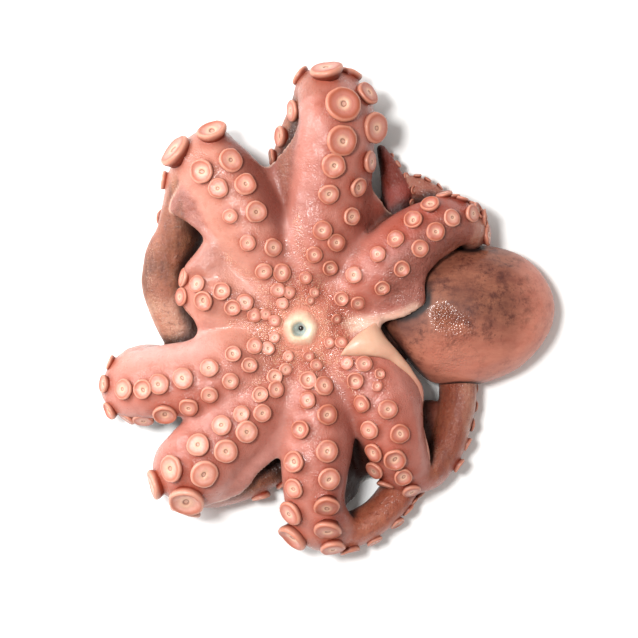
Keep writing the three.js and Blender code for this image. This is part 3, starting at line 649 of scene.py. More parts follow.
def show(name, mesh):
    made = bpy.data.objects.new(name, mesh)
    bpy.context.scene.collection.objects.link(made)
    return made


def part_of(name, mesh, node):
    """A shown piece that stands for a node of the part."""
    made = show(name, mesh)
    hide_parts(node)
    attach(made, "root")
    return made


# Materials
class Nodes:
    """Short ways of adding shader nodes to a new material."""

    def __init__(self, name):
        self.material = bpy.data.materials.new(name)
        self.material.use_nodes = True
        self.tree = self.material.node_tree
        self.shader = self.tree.nodes["Principled BSDF"]

    def add(self, kind, settings=None, **values):
        node = self.tree.nodes.new(kind)
        for key, value in (settings or {}).items():
            setattr(node, key, value)
        for key, value in values.items():
            self.put(node.inputs[key.replace("_", " ")], value)
        return node

    def put(self, socket, value):
        if isinstance(value, bpy.types.NodeSocket):
            self.tree.links.new(value, socket)
        else:
            socket.default_value = value

    def value(self, name):
        return self.add("ShaderNodeAttribute", dict(attribute_name=name)).outputs["Fac"]

    def place(self):
        return self.add("ShaderNodeTexCoord").outputs["Object"]

    def noise(self, scale, detail=3, roughness=0.55, distortion=0.0, place=None):
        return self.add("ShaderNodeTexNoise", None, Vector=place or self.place(), Scale=scale,
                        Detail=detail, Roughness=roughness, Distortion=distortion).outputs["Fac"]

    def ramp(self, value, low, high, to_low=0.0, to_high=1.0):
        node = self.add("ShaderNodeMapRange", None, Value=value)
        node.inputs["From Min"].default_value = low
        node.inputs["From Max"].default_value = high
        node.inputs["To Min"].default_value = to_low
        node.inputs["To Max"].default_value = to_high
        return node.outputs["Result"]

    def math(self, operation, a, b):
        node = self.add("ShaderNodeMath", dict(operation=operation))
        self.put(node.inputs[0], a)
        self.put(node.inputs[1], b)
        return node.outputs[0]

    def times(self, a, b):
        return self.math("MULTIPLY", a, b)

    def larger(self, a, b):
        return self.math("MAXIMUM", a, b)

    def blend(self, factor, a, b):
        node = self.add("ShaderNodeMix", dict(data_type="RGBA"))
        self.put(node.inputs["Factor"], factor)
        self.put(node.inputs[6], a)
        self.put(node.inputs[7], b)
        return node.outputs[2]

    def bump(self, height, distance, strength=1.0, below=None):
        node = self.add("ShaderNodeBump", None, Height=height, Distance=distance, Strength=strength)
        if below:
            self.put(node.inputs["Normal"], below)
        return node.outputs["Normal"]

    def beads(self, scale):
        """Small round grains: their height, and how near their middles are."""
        cells = self.add("ShaderNodeTexVoronoi", dict(feature="F1"), Vector=self.place(), Scale=scale)
        near = cells.outputs["Distance"]
        return self.ramp(near, 0.0, 0.8, 1.0, 0.0), self.ramp(near, 0.1, 0.5, 0.8, 0.0)

    def stretched(self, scale, rotation=0.0):
        """Places for a pattern that is drawn out one way."""
        return self.add("ShaderNodeMapping", None, Vector=self.place(), Rotation=(0, 0, rotation),
                        Scale=scale).outputs[0]

    def shape(self, relief):
        self.put(self.shader.inputs["Normal"], relief)
        self.put(self.shader.inputs["Coat Normal"], relief)


def colour(red, green, blue):
    """A colour given as it looks on a screen, 0 to 255, for a shader."""
    linear = [((c / 255 + 0.055) / 1.055) ** 2.4 if c > 10 else c / 255 / 12.92
              for c in (red, green, blue)]
    return (*linear, 1)


def wet(nodes, roughness, coat, coat_roughness, scatter=0.14):
    """The gloss of wet flesh, and the light that goes a little way into it."""
    shader = nodes.shader
    nodes.put(shader.inputs["Roughness"], roughness)
    shader.inputs["Specular IOR Level"].default_value = 0.35
    shader.inputs["Coat Weight"].default_value = coat
    shader.inputs["Coat Roughness"].default_value = coat_roughness
    shader.inputs["Subsurface Weight"].default_value = scatter
    shader.inputs["Subsurface Radius"].default_value = (1.0, 0.3, 0.2)
    shader.inputs["Subsurface Scale"].default_value = 0.0022


def skin_material():
    n = Nodes("flesh skin")
    broad = n.ramp(n.noise(26, 3), 0.35, 0.65)
    fine = n.ramp(n.noise(170, 4, 0.65), 0.3, 0.7)
    cool = n.blend(broad, colour(204, 142, 130), colour(190, 122, 108))
    warm = n.blend(broad, colour(188, 112, 92), colour(168, 92, 73))
    oral = n.blend(n.value("warm"), cool, warm)
    # Painted light: a lighter peach on the left-hand arms, where the light falls
    oral = n.blend(n.value("peach"), oral, colour(208, 148, 126))
    # Painted light: the left arm's upper side made pale where the light falls on it
    oral = n.blend(n.value("pale"), oral, colour(222, 170, 162))
    # Painted shade: red-brown at the foot of each sucker
    oral = n.blend(n.times(n.value("ring"), 0.75), oral, colour(148, 58, 36))
    web = n.blend(fine, colour(200, 132, 116), colour(178, 110, 96))
    face = n.blend(n.value("web"), oral, n.blend(n.value("mauve"), web, colour(196, 140, 130)))
    # The flanks' own mauve-brown, with painted shade on the upper right arm's lower flank
    face = n.blend(n.times(n.value("flank"), 0.9), face,
                   n.blend(fine, colour(146, 90, 76), colour(120, 66, 54)))
    streak = n.ramp(n.noise(210, 4, 0.6, 0.4, n.stretched((1.0, 0.3, 1.0))), 0.35, 0.68)
    brown = n.blend(streak, colour(96, 54, 37), colour(156, 100, 70))
    back = n.blend(n.ramp(n.noise(30, 2), 0.45, 0.7), brown, colour(164, 98, 74))
    base = n.blend(n.value("back"), face, back)
    tan = n.blend(streak, colour(196, 148, 124), colour(234, 198, 172))
    base = n.blend(n.value("tan"), base, tan)
    base = n.blend(n.value("rust"), base, n.blend(streak, colour(156, 76, 50), colour(196, 116, 84)))
    wine = n.blend(broad, colour(68, 6, 6), colour(50, 4, 4))
    # Painted reflection: the wine-coloured tip's lower end made pale mauve
    base = n.blend(n.value("wine"), base, n.blend(n.value("wine_end"), wine, colour(160, 88, 84)))
    base = n.blend(n.times(fine, 0.22), base, colour(130, 54, 38))
    speck = n.times(n.ramp(n.noise(430, 4, 0.75), 0.52, 0.68), 0.55)
    rough_side = n.larger(n.value("back"), n.value("flank"))
    base = n.blend(n.times(speck, rough_side), base, colour(84, 42, 34))
    # Painted shade: red-brown in the valleys between the arms and on flanks turned from the light
    base = n.blend(n.value("valley"), base, colour(102, 32, 19))
    # Painted shade: deeper red on the right-hand arms, away from the light
    base = n.blend(n.value("dusk"), base, colour(142, 48, 27))
    # Painted shade: near black where flesh lies deep under or between other flesh
    base = n.blend(n.value("deep"), base, n.blend(0.9, base, colour(36, 10, 7)))
    # The webs' free edges: partly their own paler colour, partly a painted highlight along the rim
    base = n.blend(n.value("edge"), base, colour(216, 176, 154))
    base = n.blend(n.value("lip"), base, colour(198, 124, 102))
    pebbles, peaks = n.beads(1200)
    patches = n.ramp(n.noise(40, 2), 0.55, 0.68, 0.0, 0.7)
    # Painted glints: pale specks on the grains where the skin sparkles
    painted_glint_specks = n.times(peaks, n.ramp(n.noise(150, 3), 0.42, 0.6))
    base = n.blend(n.times(painted_glint_specks, n.value("sparkle")), base, colour(240, 196, 160))
    n.put(n.shader.inputs["Base Color"], base)
    gloss = n.larger(n.value("sparkle"), n.ramp(n.noise(190, 4, 0.6), 0.54, 0.64))
    wet(n, n.math("SUBTRACT", n.ramp(n.value("back"), 0.0, 1.0, 0.46, 0.56),
                  n.times(gloss, 0.3)), 0.34, 0.08)
    between = n.times(n.value("warm"), n.ramp(n.noise(90, 2), 0.5, 0.6, 0.0, 0.7))
    zone = n.larger(n.larger(patches, between), n.value("sparkle"))
    cells = n.add("ShaderNodeTexVoronoi", dict(feature="SMOOTH_F1"), Vector=n.place(), Scale=150)
    creases = n.times(cells.outputs["Distance"], n.value("warm"))
    relief = n.bump(creases, 0.0012, 0.5)
    relief = n.bump(n.noise(110, 5, 0.65), 0.0011, 0.5, relief)
    relief = n.bump(n.times(pebbles, zone), 0.0004, 0.8, relief)
    grain = n.times(n.noise(700, 3, 0.7), n.ramp(n.value("sparkle"), 0.0, 0.7, 1.0, 0.2))
    relief = n.bump(grain, 0.0004, 0.6, relief)
    relief = n.bump(n.times(n.noise(330, 4, 0.7), rough_side), 0.0012, 0.9, relief)
    n.shape(relief)
    return n.material


def sucker_material():
    n = Nodes("sucker skin")
    rho = n.value("ring")
    tone = n.value("tone")
    face = n.blend(n.ramp(n.noise(260, 3), 0.35, 0.65), colour(224, 166, 149), colour(209, 146, 128))
    face = n.blend(tone, face, colour(184, 111, 95))
    rim = n.blend(tone, colour(192, 114, 92), colour(164, 84, 60))
    # The sides under the rim: their own darker red, deepened by painted shade
    side = n.blend(tone, colour(142, 56, 34), colour(92, 34, 22))
    centre = n.blend(n.ramp(rho, 0.07, 0.12), colour(206, 154, 134), colour(156, 106, 88))
    base = n.blend(n.ramp(rho, 0.15, 0.21), centre, colour(220, 170, 144))
    base = n.blend(n.ramp(rho, 0.28, 0.5), base, face)
    base = n.blend(n.ramp(rho, 0.55, 0.78), base, rim)
    lip = n.blend(tone, colour(214, 152, 130), colour(196, 124, 100))
    base = n.blend(n.ramp(rho, 0.82, 0.93), base, lip)
    base = n.blend(n.ramp(rho, 1.02, 1.3), base, side)
    n.put(n.shader.inputs["Base Color"], base)
    wet(n, 0.45, 0.2, 0.2, 0.14)
    n.shape(n.bump(n.noise(420, 4, 0.6), 0.0005, 0.6))
    return n.material


def mantle_material():
    n = Nodes("mantle skin")
    streak = n.ramp(n.noise(150, 5, 0.7, 0.0, n.stretched((0.3, 1.0, 1.0), 0.6)), 0.3, 0.7)
    cloud = n.ramp(n.noise(46, 6, 0.7, 0.2), 0.44, 0.64)
    brown = n.blend(streak, colour(104, 54, 38), colour(148, 90, 65))
    brown = n.blend(cloud, brown, n.blend(streak, colour(76, 32, 22), colour(108, 56, 38)))
    pink = n.blend(streak, colour(190, 107, 86), colour(209, 132, 109))
    base = n.blend(n.value("pink"), brown, pink)
    freckle = n.ramp(n.noise(150, 5, 0.75), 0.5, 0.64)
    freckle = n.larger(freckle, n.ramp(n.noise(460, 3, 0.7), 0.56, 0.7))
    clusters = n.ramp(n.noise(38, 3, 0.6), 0.35, 0.5)
    freckle = n.times(freckle, clusters)
    freckle = n.times(freckle, n.ramp(n.value("pink"), 0.0, 1.0, 0.9, 0.22))
    base = n.blend(freckle, base, colour(74, 28, 20))
    # Painted shade: near black at the collar and where the flesh lies on the mantle
    base = n.blend(n.value("deep"), base, colour(26, 9, 7))
    n.put(n.shader.inputs["Base Color"], base)
    wet(n, n.ramp(n.value("sparkle"), 0.0, 1.0, 0.58, 0.1), 0.3, 0.1, 0.08)
    pebbles, _ = n.beads(760)
    relief = n.bump(n.noise(60, 4), 0.001, 0.35)
    relief = n.bump(n.noise(260, 4, 0.7), 0.0003, 0.4, relief)
    relief = n.bump(n.times(pebbles, n.value("sparkle")), 0.0006, 0.9, relief)
    n.shape(relief)
    return n.material


def cream_material():
    n = Nodes("inner skin")
    blotch = n.ramp(n.noise(60, 3), 0.35, 0.65)
    base = n.blend(blotch, colour(208, 163, 136), colour(192, 140, 116))
    base = n.blend(n.value("rosy"), base, colour(180, 112, 98))
    n.put(n.shader.inputs["Base Color"], base)
    wet(n, 0.45, 0.2, 0.2, 0.2)
    n.put(n.shader.inputs["Normal"], n.bump(n.noise(300, 3), 0.0004, 0.5))
    return n.material


def mouth_material():
    n = Nodes("mouth skin")
    rho = n.value("ring")
    folds = n.ramp(n.noise(240, 3), 0.35, 0.65)
    pale = n.blend(folds, colour(222, 208, 182), colour(212, 190, 160))
    uneven = n.math("ADD", rho, n.ramp(n.noise(130, 3), 0.3, 0.7, -0.1, 0.1))
    base = n.blend(n.ramp(uneven, 0.5, 0.86), pale, colour(198, 124, 102))
    # Painted light: the hole is coloured a light grey, so that the pit does not read as dark as its shade
    # makes it
    painted_light_hole = n.blend(folds, colour(176, 182, 174), colour(138, 146, 140))
    base = n.blend(n.ramp(rho, 0.3, 0.42), painted_light_hole, base)
    n.put(n.shader.inputs["Base Color"], base)
    wet(n, 0.5, 0.12, 0.15, 0.2)
    pebbles, _ = n.beads(1200)
    pebbles = n.times(pebbles, n.ramp(rho, 0.65, 0.95))
    n.put(n.shader.inputs["Normal"], n.bump(pebbles, 0.0004, 0.8, n.bump(folds, 0.0004, 0.4)))
    return n.material


def beak_material():
    n = Nodes("beak horn")
    n.put(n.shader.inputs["Base Color"], colour(36, 24, 20))
    n.shader.inputs["Roughness"].default_value = 0.25
    n.shader.inputs["Coat Weight"].default_value = 0.5
    return n.material


# Suckers: a few shapes of one radius, set on points by geometry nodes
def sucker_shape(name, profile, sides, oval=1.0, shift=0.0, tilt=0.0):
    """A sucker about +Z from rings of radius, height and how far out its colour counts."""
    angle = np.arange(sides) * 2 * math.pi / sides
    rows, ring = [], []
    for radius, height, out in profile:
        near = max(0.0, 1 - radius / 0.6)
        x = radius * np.cos(angle) * (1 + (oval - 1) * near) + shift * near
        y = radius * np.sin(angle) * (1 - (oval - 1) * near * 0.5)
        rows.append(np.stack([x, y, height + tilt * x * (radius > 0.6)], -1))
        ring += [out] * sides
    points, quads, fans = closed_rows(np.array(rows))
    ring += [profile[0][2], profile[-1][2]]
    return new_mesh(name, points / MM, outside(quads, fans), None, ring=ring)


FLAT_CUP = [(0.07, 0.33, 0.05), (0.14, 0.335, 0.14), (0.19, 0.37, 0.2), (0.26, 0.40, 0.27),
            (0.36, 0.39, 0.4), (0.56, 0.415, 0.56), (0.76, 0.43, 0.76), (0.89, 0.41, 0.89),
            (0.97, 0.34, 0.98), (1.0, 0.22, 1.1), (0.965, 0.08, 1.22), (0.88, -0.06, 1.35),
            (0.80, -0.3, 1.5)]
OPEN_CUP = [(0.08, 0.20, 0.05), (0.16, 0.21, 0.14), (0.22, 0.27, 0.2), (0.30, 0.30, 0.27),
            (0.42, 0.29, 0.4), (0.60, 0.35, 0.56), (0.74, 0.44, 0.76), (0.87, 0.49, 0.89),
            (0.97, 0.42, 0.98), (1.0, 0.28, 1.1), (0.96, 0.10, 1.22), (0.86, -0.06, 1.35),
            (0.78, -0.3, 1.5)]
SMALL_CUP = [(0.14, 0.3, 0.1), (0.24, 0.38, 0.25), (0.55, 0.42, 0.6), (0.88, 0.4, 0.9),
             (1.0, 0.22, 1.1), (0.84, -0.2, 1.4)]
LEAST_FULL_SUCKER = 3.9


def sucker_tree(prototypes):
    """Sets on each point one of the shapes, sized, spun and turned by the point's values."""
    tree = bpy.data.node_groups.new("set suckers", "GeometryNodeTree")
    tree.interface.new_socket("Places", in_out="INPUT", socket_type="NodeSocketGeometry")
    tree.interface.new_socket("Size", in_out="INPUT", socket_type="NodeSocketFloat")
    tree.interface.new_socket("Skin", in_out="INPUT", socket_type="NodeSocketMaterial")
    tree.interface.new_socket("Suckers", in_out="OUTPUT", socket_type="NodeSocketGeometry")
    add, link = tree.nodes.new, tree.links.new
    given, made = add("NodeGroupInput"), add("NodeGroupOutput")

    def named(name, kind):
        node = add("GeometryNodeInputNamedAttribute")
        node.data_type = kind
        node.inputs["Name"].default_value = name
        return node.outputs["Attribute"]

    shapes = add("GeometryNodeCollectionInfo")
    shapes.inputs["Collection"].default_value = prototypes
    shapes.inputs["Separate Children"].default_value = True
    shapes.inputs["Reset Children"].default_value = True
    place = add("GeometryNodeInstanceOnPoints")
    place.inputs["Pick Instance"].default_value = True
    align = add("FunctionNodeAlignRotationToVector")
    align.axis = "Z"
    link(named("facing", "FLOAT_VECTOR"), align.inputs["Vector"])
    spin = add("FunctionNodeRotateRotation")
    spin.rotation_space = "LOCAL"
    angle = add("ShaderNodeCombineXYZ")
    link(named("spin", "FLOAT"), angle.inputs["Z"])
    link(align.outputs["Rotation"], spin.inputs["Rotation"])
    link(angle.outputs["Vector"], spin.inputs["Rotate By"])
    size = add("ShaderNodeMath")
    size.operation = "MULTIPLY"
    link(named("radius", "FLOAT"), size.inputs[0])
    link(given.outputs["Size"], size.inputs[1])
    link(given.outputs["Places"], place.inputs["Points"])
    link(shapes.outputs["Instances"], place.inputs["Instance"])
    link(named("kind", "INT"), place.inputs["Instance Index"])
    link(spin.outputs["Rotation"], place.inputs["Rotation"])
    link(size.outputs["Value"], place.inputs["Scale"])
    real = add("GeometryNodeRealizeInstances")
    link(place.outputs["Instances"], real.inputs["Geometry"])
    skin = add("GeometryNodeSetMaterial")
    link(real.outputs["Geometry"], skin.inputs["Geometry"])
    link(given.outputs["Skin"], skin.inputs["Material"])
    link(skin.outputs["Geometry"], made.inputs["Suckers"])
    return tree


def set_suckers(arm_name, suckers, tree, skin):
    """All the suckers of one arm as one plain mesh."""
    name = "suckers_" + arm_name
    count = len(suckers)
    kinds = [1 if one["radius"] < LEAST_FULL_SUCKER and one["own"] == LATE else int(RNG.choice([0, 0, 2, 3]))
             for one in suckers]
    out = np.array([one["out"] for one in suckers])
    darker = [SUCKER_TONES.get(arm_name, 0.0) + 0.6 * (one["radius"] < 2.8 and one["base"][2] < 30)
              for one in suckers]
    bases = unevenness(np.array([one["base"] + one["out"] * 0.05 * one["radius"] for one in suckers]))
    holder = show(name + "_places",
                  new_mesh(name + "_places", bases, [], skin,
                           facing=unit(out + RNG.normal(0, 0.07, (count, 3))),
                           radius=[one["radius"] * MM * RNG.uniform(1.02, 1.1) for one in suckers],
                           spin=RNG.uniform(0, 2 * math.pi, count),
                           tone=np.clip(RNG.normal(0.42, 0.18, count) + darker, 0, 1)))
    layer = holder.data.attributes.new("kind", "INT", "POINT")
    layer.data.foreach_set("value", kinds)
    modifier = holder.modifiers.new("suckers", "NODES")
    sockets = {item.name: item.identifier for item in tree.interface.items_tree
               if item.item_type == "SOCKET" and item.in_out == "INPUT"}
    modifier.node_group = tree
    modifier[sockets["Size"]] = 1.0
    modifier[sockets["Skin"]] = skin
    mesh = bpy.data.meshes.new_from_object(
        holder.evaluated_get(bpy.context.evaluated_depsgraph_get()))
    holder.modifiers.remove(modifier)
    places = holder.data
    bpy.data.objects.remove(holder)
    bpy.data.meshes.remove(places)
    mesh.name = name
    spots = np.empty(len(mesh.vertices) * 3, np.float32)
    mesh.vertices.foreach_get("co", spots)
    spots = spots.reshape(-1, 3)
    spots = spots + (wobble(spots / MM, 3.2, 2) * 0.28 + wobble(spots / MM, 8, 3) * 0.5) * MM
    spots[:, 2] = np.maximum(spots[:, 2], 0.3 * MM)
    mesh.vertices.foreach_set("co", spots.reshape(-1))
    mesh.polygons.foreach_set("use_smooth", [True] * len(mesh.polygons))
    part_of(name, mesh, "octopus")


arms = {arm["name"]: Stations(arm) for arm in ARMS}
all_points = grid_points()
flesh_field, parts = mould(arms)
flesh_field = np.maximum(flesh_field, -egg(all_points, MOUTH, MOUTH_PIT))
suckers = {}
for name, stations in arms.items():
    arm = stations.arm
    row = [seen_sucker(stations, *one) for one in arm["seen"]]
    row += [tipped_sucker(*one) for one in arm["tipped"]]
    row += late_suckers(stations)
    settle(row, flesh_field)
    suckers[name] = [one for one in row if one["own"] != LATE
                     or one["base"][2] + one["out"][2] * one["radius"] > LOWEST_SUCKER]
every_sucker = [one for row in suckers.values() for one in row]
plain_field = flesh_field.copy()
for one in every_sucker:
    add_stalk(flesh_field, one, all_points)

# How the flesh's colour goes, point by point
def near_suckers(points, fade):
    """1 at the foot of a sucker, fading away from it."""
    share = np.zeros(len(points))
    for one in every_sucker:
        if one["radius"] < 2.4 and one["own"] == LATE:
            continue
        near = np.where(np.abs(points - one["base"]).max(1) < one["radius"] + 3 * fade)[0]
        away = np.linalg.norm(points[near] - one["base"], axis=1) - 0.9 * one["radius"]
        share[near] = np.maximum(share[near], np.exp(-np.maximum(away, 0) / fade))
    return share


def covered(field, points):
    """How little open space there is above a point: 0 in the open, 1 under cover."""
    share = np.ones(len(points))
    for height in (8, 14, 20, 28):
        room = sampled(field, points + np.array([0, 0, height])) / min(height, 13)
        share = np.minimum(share, room)
    return 1 - share


def near_line(points, line, width):
    """1 on a line, 0 a width away from it."""
    away = np.full(len(points), 1e9)
    for spot in along_path(line, np.linspace(0, 1, 90)):
        away = np.minimum(away, np.linalg.norm(points - spot, axis=1))
    return step(width, 0.3 * width, away)


def evened(values, quads, times):
    """Values averaged with their neighbours' on the surface."""
    near = np.vstack([quads[:, [k, (k + 1) % 4]] for k in range(4)])
    count = np.bincount(near[:, 0], minlength=len(values)) + np.bincount(near[:, 1], minlength=len(values))
    for _ in range(times):
        total = (np.bincount(near[:, 0], values[near[:, 1]], len(values))
                 + np.bincount(near[:, 1], values[near[:, 0]], len(values)))
        values = 0.5 * values + 0.5 * total / count
    return values


def about_arm(points):
    """Where each point lies about its nearest arm: to the back, across and past the fold, and which arm."""
    best = np.full(len(points), 1e9)
    back = np.zeros(len(points))
    across = np.zeros(len(points))
    past_fold = np.zeros(len(points))
    owner = np.zeros(len(points), int)
    for index, stations in enumerate(arms.values()):
        for i in range(0, len(stations.s), 3):
            offset = points - stations.point[i]
            u, w = offset @ stations.side[i], offset @ stations.normal[i]
            along = offset @ stations.tangent[i]
            size = np.sqrt((u / stations.a[i]) ** 2 + (w / stations.b[i]) ** 2
                           + (along / 4) ** 2)
            closer = size < best
            best[closer] = size[closer]
            back[closer] = -w[closer] / stations.b[i]
            across[closer] = u[closer] / stations.a[i]
            past_fold[closer] = stations.s[i] - stations.arm["fold_at"]
            owner[closer] = index
    return back, across, past_fold, owner


def most(*shares):
    """The largest of several shares at each point."""
    return np.maximum.reduce(shares)


def flesh_shares(points, quads):
    """The share of each colour and finish, painted light and painted shade included, at each point, by the
    name that the skin reads it under.
    """
    x, y, z = points.T
    flat = np.stack([x, y, np.zeros(len(x))], -1)
    names = list(arms)
    back_way, side_way, past_fold, owner = about_arm(points)

    def on(name):
        return owner == names.index(name)

    def gap(part):
        return sampled(parts[part], points)

    # The folded ends show the arms' brown backs
    off_arms = gap("limbs")
    folded = step(0.5, -0.5, gap("folded") - gap("spread"))
    spread = 1 - folded
    left_back = on("left") * step(-32, -22, y)
    back = np.clip(folded * step(-0.9, -0.2, back_way) + 0.8 * step(0.2, 0.9, back_way), 0, 1)
    back = back * (1 - 0.75 * left_back)
    tan = most(0.95 * folded * on("upper_right"), 0.35 * folded * on("upper_left") * step(13, 1, y),
               0.45 * folded * on("lower_right") * step(72, 79, x))
    wine = folded * step(25, 30, x) * step(50, 55, y) * step(50, 46, x) * on("top")

    # Flanks of the arms and the torn web, with some painted shade on the upper right arm's, and painted
    # shade for the light that they lose to the right
    flank = most(0.8 * step(-0.1, 0.5, back_way) * spread,
                 step(4, 1.5, gap("torn")) * step(0, 3, off_arms) * step(-2, 8, y),
                 0.7 * step(4, 1.5, gap("stump")) * step(0, 3, off_arms),
                 # The upper right arm's far lower flank: partly its own mauve, partly painted shade
                 step(0.0, 0.45, side_way * step(40, 60, x + y) * on("upper_right")) * spread)
    dusk = (0.35 * step(-10, 60, x) + 0.35 * step(10, 45, x) * step(-20, 15, y)) * (1 - 0.7 * flank)
    hood = step(-66, -72, x) * step(38, 44, y) * step(2, 4, off_arms)
    flank = most(flank, 0.6 * hood * spread) * (1 - 0.5 * left_back)

    # Webs, with their light free edges: partly the thin edge's own paler colour, partly a painted highlight
    # along the rim
    light_web = step(-38, -55, x) * step(0, 15, y) * step(52, 42, y)
    pale_web = step(-20, -26, x) * step(-64, -70, y) * step(24, 28, z)
    pocket = step(6, 9, x) * step(34, 30, x) * step(-64, -70, y) * step(-112, -106, y) * step(27, 20, z)
    web = step(1.2, 4.5, off_arms) * spread * (1 - 0.6 * light_web)
    mauve = 0.55 * evened(step(-10, -22, x) * step(-45, -60, y) * web, quads, 8)
    margins = [near_line(points, web_line(one, arms), 2.4) * step(-0.5, 1, off_arms) for one in WEBS]
    edge = most(0.8 * most(*margins, near_line(points, FOLDED_OUTER[3:], 2.4)),
                0.75 * near_line(points, TORN_EDGE[:4], 7) * step(0.5, 2, off_arms)) * spread * (1 - pocket)

    # Painted shade in the valleys between the arms and on flanks turned from the light, and darker painted
    # shade under things, unless the flesh faces out into the open
    hollow = -sampled(blurred(plain_field, 14), points)
    far = step(-85, -60, past_fold) * step(12, 0, past_fold)
    hung = step(4, 1.5, gap("web_top")) * step(0, 3, off_arms)
    valley = most(0.5 * step(0.6, 3.2, hollow),
                  *[share * step(0.2, 0.8, turn * side_way) * far * on(name)
                    for name, turn, share in SHADED_FLANKS],
                  0.25 * step(0.3, 0.8, -side_way) * step(78, 58, y) * far * on("top"))
    valley = most(valley * (1 - 0.4 * hung), 0.12 * hung, 0.22 * light_web * step(1, 4, off_arms))
    valley = valley * spread * (1 - pale_web) * (1 - 0.75 * step(-8, -30, x) * step(-25, -45, y))
    deep = most(0.7 * step(1.2, 5.5, hollow) * step(32, 24, z),
                step(0.45, 0.8, covered(plain_field, points)) * step(34, 22, z),
                0.9 * step(3, 1, gap("head")) * step(34, 30, z), pocket * spread)
    outward = unit(flat)
    faces_out = np.sum(slope_at(plain_field, points) * outward, axis=1)
    open_side = step(4, 9, np.minimum(sampled(plain_field, points + 16 * outward),
                                      sampled(plain_field, points + 32 * outward)))
    deep = deep * (1 - 0.8 * pale_web) * (1 - 0.75 * left_back)
    deep = deep * (1 - 0.8 * open_side * step(0.0, 0.5, faces_out))

    # The left arm's top, made pale with painted light where the light falls on it, and what lies round the
    # mouth, where pale glint specks are painted too
    pale = 0.55 * step(0.0, 0.6, side_way) * on("left") * step(-70, -50, past_fold)
    mouth_way = np.hypot(x - MOUTH[0], y - MOUTH[1])
    glints = [0.85 * near_line(flat, line, 4.0) * step(24, 32, z) for line in GLINT_LINES]
    return dict(
        # The wine tip's pale lower end is a painted reflection
        back=evened(back, quads, 3), tan=tan, wine=wine, wine_end=step(71, 66, y - 0.3 * (x - 30)),
        rust=0.55 * folded * on("bottom"), flank=evened(flank, quads, 5), dusk=dusk,
        web=evened(web, quads, 6), mauve=mauve, edge=edge, valley=evened(valley, quads, 7),
        deep=np.clip(evened(deep, quads, 2), 0, 1),
        pale=evened(pale * spread * step(6, 3, off_arms), quads, 8),
        # Painted light on the left-hand arms; painted shade at each sucker's foot
        peach=0.5 * step(-15, -55, x) * step(-45, -10, y), ring=near_suckers(points, 2.2),
        warm=most(near_suckers(points, 7), step(42, 22, mouth_way) * step(30, 38, z)),
        lip=0.9 * step(19, 12, mouth_way) * step(36, 40, z),
        sparkle=most(step(40, 20, mouth_way) * step(30, 38, z), *glints,
                     0.6 * folded * near_line(flat, BACK_GLINT, 3.5) * step(13, 19, z)))


points, quads = skin_of(on_floor(flesh_field, all_points))
shares = flesh_shares(points, quads)
points = unevenness(points)
points[:, 2] = np.maximum(points[:, 2], FLOOR_GAP)
part_of("flesh", new_mesh("flesh", points, quads, skin_material(), **shares), "octopus")

# Mantle: a blunt bag with a slanting collar where the head goes in
def mantle_form(rows=70, sides=110):
    centre, radii = np.array(MANTLE["centre"], float), np.array(MANTLE["radii"], float)
    polar = np.linspace(0.02, math.pi - 0.02, rows)
    turn = np.arange(sides) * 2 * math.pi / sides
    u = -np.cos(polar)
    power = np.where(u < 0, MANTLE["blunt"], 2.0)
    wide = (1 - np.abs(u) ** power) ** (1 / power)
    rings = []
    for uu, ww in zip(u, wide):
        y = np.cos(turn) * radii[1] * ww + MANTLE["drift"] * max(uu, 0)
        z = np.where(np.sin(turn) > 0, np.sin(turn) * radii[2] * ww,
                     np.sin(turn) * (centre[2] + 0.3) * ww ** 0.5)
        rings.append(np.stack([np.full(sides, uu * radii[0]), y, z], -1) + centre)
    spots = np.array(rings)
    beyond = spots @ COLLAR_FACING - COLLAR_AT
    over = np.maximum(beyond + 5, 0)
    pulled = over - 5 * (1 - np.exp(-over / 5))
    spots = spots - pulled[..., None] * COLLAR_FACING
    return spots


def round_glint(x, y, glint):
    at_x, at_y, inner, outer, stretch, share = glint
    return share * step(outer, inner, np.hypot((x - at_x) * stretch, y - at_y))


points, quads, fans = closed_rows(mantle_form())
points = points + wobble(points, 22, 5) * 0.9 + wobble(points, 7, 6) * 0.25
points[:, 2] = np.maximum(points[:, 2], FLOOR_GAP)
x, y, _ = points.T
pink = np.clip(step(6, -34, y) * step(20, 60, x + 0.2 * y) * 0.9 + step(96, 120, x)
               + 0.12 * step(5, 26, y), 0, 1)
# Painted shade on the mantle: at the collar, along the flesh that lies on it, and less over its left part
deep = most(step(-3, -0.5, points @ COLLAR_FACING - COLLAR_AT), step(4.5, 2.0, sampled(plain_field, points)),
            0.4 * step(66, 36, x) * step(-30, 0, y))
shine = most(*[round_glint(x, y, glint) for glint in MANTLE_GLINTS])
shine = shine * step(54, 60, x) * (1 - np.clip(deep * 3 - 1, 0, 1))
part_of("mantle", new_mesh("mantle", points, outside(quads, fans), mantle_material(),
                           pink=pink, deep=deep, sparkle=shine), "octopus")

# Suckers, an arm at a time
shapes = bpy.data.collections.new("sucker shapes")
bpy.context.scene.collection.children.link(shapes)
for shape in (sucker_shape("a flat", FLAT_CUP, 26), sucker_shape("b small", SMALL_CUP, 12),
              sucker_shape("c oval", FLAT_CUP, 26, 1.25, 0.05, 0.05),
              sucker_shape("d open", OPEN_CUP, 26, 1.35, 0.03, -0.04)):
    shapes.objects.link(bpy.data.objects.new(shape.name, shape))
tree = sucker_tree(shapes)
sucker_skin = sucker_material()
for name, row in suckers.items():
    set_suckers(name, row, tree, sucker_skin)
for shape in list(shapes.objects):
    bpy.data.objects.remove(shape)
bpy.data.collections.remove(shapes)
bpy.data.node_groups.remove(tree)

